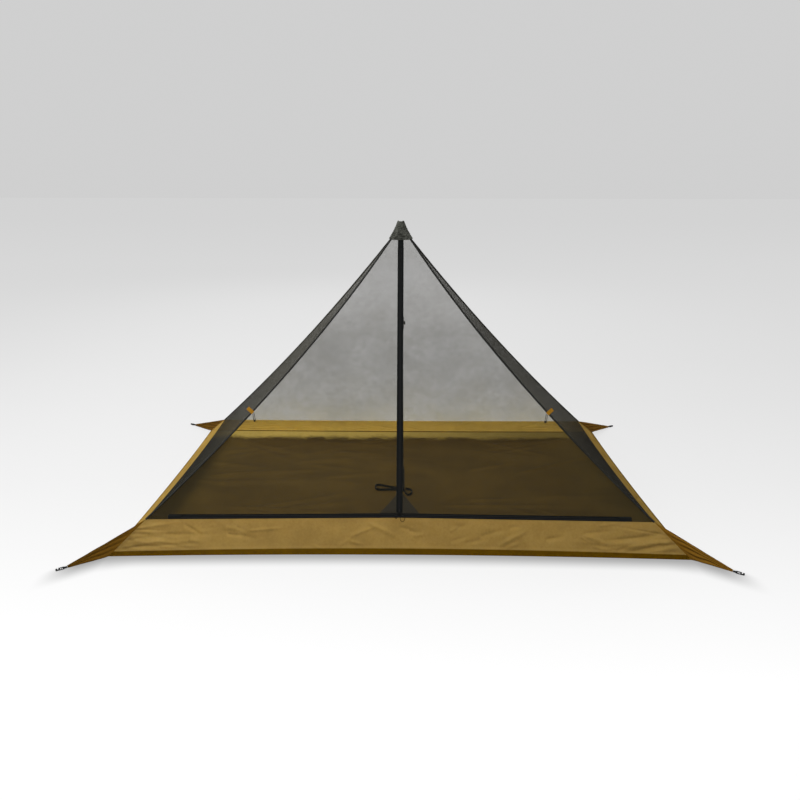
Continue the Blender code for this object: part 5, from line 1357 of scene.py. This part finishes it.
class TENT_OT_tie_backs(bpy.types.Operator):
    """Makes the door tie-backs on the front ridges: tape tab, elastic loop and button."""

    bl_idname = "tent.tie_backs"
    bl_label = "Door tie-backs"

    def execute(self, context):
        for side, name in SIDES:
            ridge, run, off, out = tie_axes(side)
            drawn = self.loop(ridge, run, off, out, side)
            piece = self.cord("tie_loop_" + name + "_cord", drawn, LOOP_CORD, finish("elastic_cord"))
            place_piece(piece, "tent", "tie_loop_" + name)
            route = smooth_path([(-0.007, 0), (0.006, 0), (0.017, -0.001), (0.027, -0.004)], 30)
            path = ridge + route[:, :1] * off + (TIE_TAPE_LIFT + route[:, 1:]) * out
            rings = ribbon_rings(path, run, TAB_WIDTH, FOLDED_TAPE)
            piece = add_tube("tie_tab_" + name + "_tape", rings, finish("tab_tape"))
            place_piece(piece, "tent", "tie_tab_" + name)
            dress_node("tie_toggle_" + name, finish("moulded_plastic"))
        return {"FINISHED"}

    def loop(self, ridge, run, off, out, side):
        """The loop's line: two legs from the ridge that lie either side of the line to the button, and
        a half turn round the button's waist."""
        lift = BUTTON_BASE + SMALL_GAP + LOOP_CORD / 2
        radius = BUTTON_WAIST + SMALL_GAP + LOOP_CORD / 2
        start = ridge - off * TIE_REACH + out * lift
        centre = front_points(np.array(side * TIE_ACROSS), np.array(TIE_BUTTON_HEIGHT)) + out * lift
        down = unit(centre - start)
        apart = unit(np.cross(down, out))
        apart = apart * np.sign(np.dot(apart, run))
        angle = np.radians(np.linspace(75, -75, 7))[:, None]
        turn = centre + down * radius * np.cos(angle) + apart * radius * np.sin(angle)
        halfway = mix(start, centre, 0.6)
        going = [start + run * radius, halfway + apart * radius]
        coming = [halfway - apart * radius, start - run * radius]
        return smooth_path(np.concatenate([going, turn, coming]), 40)

    def cord(self, name, path, diameter, material):
        """A round cord: one open curve through the path's points with a bevel."""
        curve = bpy.data.curves.new(name, "CURVE")
        curve.dimensions = "3D"
        curve.bevel_depth = diameter / 2
        curve.bevel_resolution = 4
        curve.use_fill_caps = True
        spline = curve.splines.new("POLY")
        spline.points.add(len(path) - 1)
        places = np.concatenate([path, np.ones((len(path), 1))], axis=1)
        spline.points.foreach_set("co", places.reshape(-1))
        curve.materials.append(material)
        piece = bpy.data.objects.new(name, curve)
        bpy.context.scene.collection.objects.link(piece)
        return piece


def turned_on_pole(profile, steps):
    """A turned shape's rings on the leaning pole: each (radius, height) of the outline is carried
    round the line from the pole's foot to its head."""
    foot, head = np.array(POLE_FOOT), np.array(POLE_HEAD)
    axis = unit(head - foot)
    side = unit(np.array([1.0, 0, 0]) - axis * axis[0])
    angle = np.linspace(0, 2 * np.pi, steps, endpoint=False)
    x = profile[:, :1] * np.cos(angle)
    y = profile[:, :1] * np.sin(angle)
    rings = np.stack([x, y, np.broadcast_to(profile[:, 1:], x.shape)], axis=-1)
    return rings @ np.stack([side, np.cross(axis, side), axis]) + foot


class TENT_OT_pole(bpy.types.Operator):
    """Makes the pole's ribbed grip, and finishes its tubes, tip, clamp, lever and pin."""

    bl_idname = "tent.pole"
    bl_label = "Pole"

    def execute(self, context):
        height = np.linspace(0, GRIP_LENGTH, 220)
        outline = [0, 0.0025, 0.006, 0.012, 0.035, 0.060, 0.085, 0.105, 0.120, GRIP_LENGTH]
        radii = [0.0072, 0.0112, 0.0132, 0.0142, 0.0130, 0.0138, 0.0128, 0.0138, 0.0122, 0.0112]
        ribbed = (height > RIBS_FROM) & (height < RIBS_TO)
        ribs = np.clip(np.sin(2 * np.pi * height / RIB_PITCH), -0.2, 1) * ribbed
        radius = np.interp(height, outline, radii) + RIB_HEIGHT * ribs
        outside = np.stack([radius, height], axis=-1)
        socket = [[GRIP_BORE, GRIP_LENGTH], [GRIP_BORE, GRIP_FLOOR], [AXIS_GAP, GRIP_FLOOR]]
        profile = np.concatenate([[[AXIS_GAP, 0]], outside, socket])
        piece = add_tube("pole_grip_foam", turned_on_pole(profile, 64), finish("foam_grip"), degrees=35)
        place_piece(piece, "tent", "pole_grip")
        for part, material, slot in (
                ("outer_tube", "carbon_tube", "carbon"), ("inner_tube", "carbon_tube", "carbon"),
                ("tip", "bare_metal", "tip_metal"), ("lock_pin", "bare_metal", "tip_metal"),
                ("lock_clamp", "moulded_plastic", "moulded"), ("lock_lever", "moulded_plastic", "moulded")):
            dress_node("pole_" + part, finish(material))
        return {"FINISHED"}


class TENT_OT_wrist_strap(bpy.types.Operator):
    """Makes the wrist strap, a tape on its edge that lies in two loops on the floor."""

    bl_idname = "tent.wrist_strap"
    bl_label = "Wrist strap"

    def execute(self, context):
        route = [
            (-0.0170, 0.008), (-0.045, 0.014), (-0.080, 0.027), (-0.112, 0.040), (-0.130, 0.038),
            (-0.136, 0.020), (-0.132, 0), (-0.118, -0.012), (-0.085, -0.012), (-0.040, -0.010),
            (0, -0.020), (0.012, -0.022), (0.018, -0.050), (0.031, -0.068), (0.045, -0.055),
            (0.051, -0.036), (0.045, -0.014), (0.030, -0.004), (0.0170, 0.002)]
        flat = smooth_path(route, 260) + np.array(POLE_FOOT[:2])
        path = np.concatenate([flat, np.full((len(flat), 1), STRAP_MIDDLE)], axis=1)
        rings = ribbon_rings(path, np.array([0, 0, 1.0]), WEBBING_WIDTH, STRAP_THICKNESS)
        piece = add_tube("wrist_strap_tape", rings, finish("webbing_tape"))
        place_piece(piece, "tent", "wrist_strap")
        return {"FINISHED"}


def painted_front_shadow(nodes, place):
    """The painted shadow's strength, a soft dark edge on the floor: most where the distance in front of
    the tent's edge is zero, and nothing 0.10 m in front of the wall or 0.13 m in front of the gussets.
    The tent's edge is the bowed front wall's foot, then the gussets' line."""
    across = nodes.math("ABSOLUTE", place[0])
    share = nodes.math("DIVIDE", across, FLOOR_HALF_LENGTH)
    arch = nodes.math("SUBTRACT", 1.0, nodes.math("MULTIPLY", share, share), clamp=True)
    beyond = nodes.math("MAXIMUM", nodes.math("SUBTRACT", across, FLOOR_HALF_LENGTH), 0.0)
    edge = nodes.math("MULTIPLY_ADD", arch, -FRONT_FLOOR_BOW, FLOOR_HALF_WIDTH)
    edge = nodes.math("MULTIPLY_ADD", beyond, TIP_REACH_SHORT / TIP_REACH_LONG, edge)
    away = nodes.math("SUBTRACT", nodes.math("MULTIPLY", place[1], -1.0), edge)
    away = nodes.math("DIVIDE", away, nodes.remap(across, 1.05, 1.25, 0.098, 0.130))
    near = nodes.remap(away, 1.0, 0.0, 0.0, 0.53)
    near = nodes.math("MULTIPLY", near, nodes.remap(away, -0.3, 0.0))
    return nodes.math("MULTIPLY", near, nodes.remap(across, 1.42, 1.28))


def stage_finish():
    """The pale floor: mostly a steady pale tone where the camera or a reflection sees it, and the rest
    of it a surface that shows the tent's shadow. The steady tone is a painted falloff of light, whiter
    in front of the tent than behind it, and pale again far out in front. A painted shadow, a soft dark
    edge, lies in front of the tent's front edge and gussets, where a low studio light would cast one;
    it darkens both the steady tone and the surface. The steady tone follows the steepness of the
    camera's view: its height over the distance ahead of it."""
    material = bpy.data.materials.new("pale_floor")
    material.use_nodes = True
    nodes = Nodes(material.node_tree)
    material.node_tree.nodes.remove(material.node_tree.nodes["Principled BSDF"])
    place = nodes.parts(nodes.place())
    ahead = nodes.math("MAXIMUM", nodes.math("ADD", place[1], VIEW_DISTANCE), 1.0)
    steep = nodes.math("DIVIDE", VIEW_HEIGHT, ahead)
    lit = nodes.math("SUBTRACT", 1.0, painted_front_shadow(nodes, place))
    ramp = nodes.add("ShaderNodeValToRGB", {0: nodes.math("MULTIPLY", steep, 0.8)})
    elements = ramp.color_ramp.elements
    elements.remove(elements[1])
    for index, (stop, tone) in enumerate(STAGE_PAINTED_FALLOFF):
        element = elements[0] if index == 0 else elements.new(stop)
        element.color = grey(tone / STAGE_BRIGHTEST)
    diffuse = nodes.add("ShaderNodeBsdfDiffuse", {"Color": nodes.blend(lit, BLACK, grey(0.8))})
    far_tone = grey(STAGE_PAINTED_FALLOFF[0][1] / STAGE_BRIGHTEST)
    tone = nodes.blend(nodes.remap(place[1], *STAGE_PALE_AGAIN), ramp.outputs[0], far_tone)
    strength = nodes.math("MULTIPLY", lit, STAGE_BRIGHTEST)
    steady = nodes.add("ShaderNodeEmission", {"Color": tone, "Strength": strength})
    share = nodes.math("MULTIPLY", nodes.seen(), STAGE_STEADY)
    mixed = nodes.add("ShaderNodeMixShader", {0: share, 1: diffuse.outputs[0], 2: steady.outputs[0]})
    nodes.feed(material.node_tree.nodes["Material Output"].inputs["Surface"], mixed.outputs[0])
    return material


def grey(tone):
    """A grey as an RGBA value."""
    return (tone, tone, tone, 1)


def area_lamp(scene, name, place, target, size, power):
    """A soft square lamp at a place, turned to a target."""
    lamp = bpy.data.lights.new(name, "AREA")
    lamp.shape = "SQUARE"
    lamp.size = size
    lamp.energy = power
    piece = bpy.data.objects.new(name, lamp)
    piece.location = place
    piece.rotation_euler = (Vector(target) - Vector(place)).to_track_quat("-Z", "Y").to_euler()
    scene.collection.objects.link(piece)


class TENT_OT_stage(bpy.types.Operator):
    """Sets the camera, the pale floor, the pale surroundings and the soft lamps."""

    bl_idname = "tent.stage"
    bl_label = "Stage"

    def execute(self, context):
        scene = context.scene
        lens = bpy.data.cameras.new("view")
        lens.sensor_width = 36
        lens.lens = CAMERA_PIXELS * 36 / PICTURE_PIXELS
        lens.clip_start = 0.05
        lens.clip_end = 200
        camera = bpy.data.objects.new("view", lens)
        turn = Matrix.Rotation(CAMERA_AIM, 4, "Z") @ Matrix.Rotation(math.pi / 2 - CAMERA_DIP, 4, "X")
        turn = turn @ Matrix.Rotation(CAMERA_ROLL, 4, "Z")
        camera.matrix_world = Matrix.Translation(CAMERA_PLACE) @ turn
        scene.collection.objects.link(camera)
        scene.camera = camera
        corners = [(STAGE_REACH * x, STAGE_REACH * y, 0) for x, y in ((-1, -1), (1, -1), (1, 1), (-1, 1))]
        mesh = bpy.data.meshes.new("stage_floor")
        mesh.from_pydata(corners, [], [(0, 1, 2, 3)])
        link("stage_floor", mesh, stage_finish())
        area_lamp(scene, "top_lamp", (-1.8, 0.8, 4.2), (0, 0, 0.2), 2.6, 125)
        area_lamp(scene, "front_lamp", (-2.4, -4.4, 2.8), (0, 0, 0.3), 2.0, 55)
        area_lamp(scene, "back_lamp", (-1.2, 5.6, 4.6), (0, 0.7, 0.2), 3.6, 105)
        self.light_surroundings(scene)
        scene.view_settings.view_transform = "Standard"
        return {"FINISHED"}

    def light_surroundings(self, scene):
        """Pale grey where the camera or a reflection sees it, and a darker plain light elsewhere."""
        world = bpy.data.worlds.new("pale_room")
        world.use_nodes = True
        nodes = Nodes(world.node_tree)
        backdrop = world.node_tree.nodes["Background"]
        strength = nodes.math("MULTIPLY_ADD", nodes.seen(), ROOM_SEEN, ROOM_LIGHT)
        nodes.feed(backdrop.inputs["Strength"], strength)
        backdrop.inputs["Color"].default_value = grey(1)
        scene.world = world


class TENT_PT_panel(bpy.types.Panel):
    """Lists the tent's sizes, colours and makers."""

    bl_label = "Tent"
    bl_idname = "TENT_PT_panel"
    bl_space_type = "VIEW_3D"
    bl_region_type = "UI"
    bl_category = "Tent"

    def draw(self, context):
        scene = context.scene
        for owner, settings in ((scene.tent_sizes, TentSizes), (scene.tent_colours, TentColours)):
            column = self.layout.column()
            for name in settings.__annotations__:
                column.prop(owner, name)
        for maker in MAKERS:
            self.layout.operator(maker.bl_idname)


MAKERS = (
    TENT_OT_stage, TENT_OT_tie_backs, TENT_OT_floor, TENT_OT_walls, TENT_OT_gussets, TENT_OT_netting,
    TENT_OT_bindings, TENT_OT_zips, TENT_OT_peak_cap, TENT_OT_corner_fittings, TENT_OT_pole,
    TENT_OT_wrist_strap)
CLASSES = (TentSizes, TentColours) + MAKERS + (TENT_PT_panel,)


def register():
    """Adds the classes and the scene's settings."""
    for kind in CLASSES:
        bpy.utils.register_class(kind)
    bpy.types.Scene.tent_sizes = bpy.props.PointerProperty(type=TentSizes)
    bpy.types.Scene.tent_colours = bpy.props.PointerProperty(type=TentColours)


def unregister():
    """Takes the settings and the classes away again."""
    del bpy.types.Scene.tent_colours
    del bpy.types.Scene.tent_sizes
    for kind in reversed(CLASSES):
        bpy.utils.unregister_class(kind)


def main():
    register()
    for maker in MAKERS:
        group, name = maker.bl_idname.split(".")
        getattr(getattr(bpy.ops, group), name)()


if __name__ == "__main__":
    main()
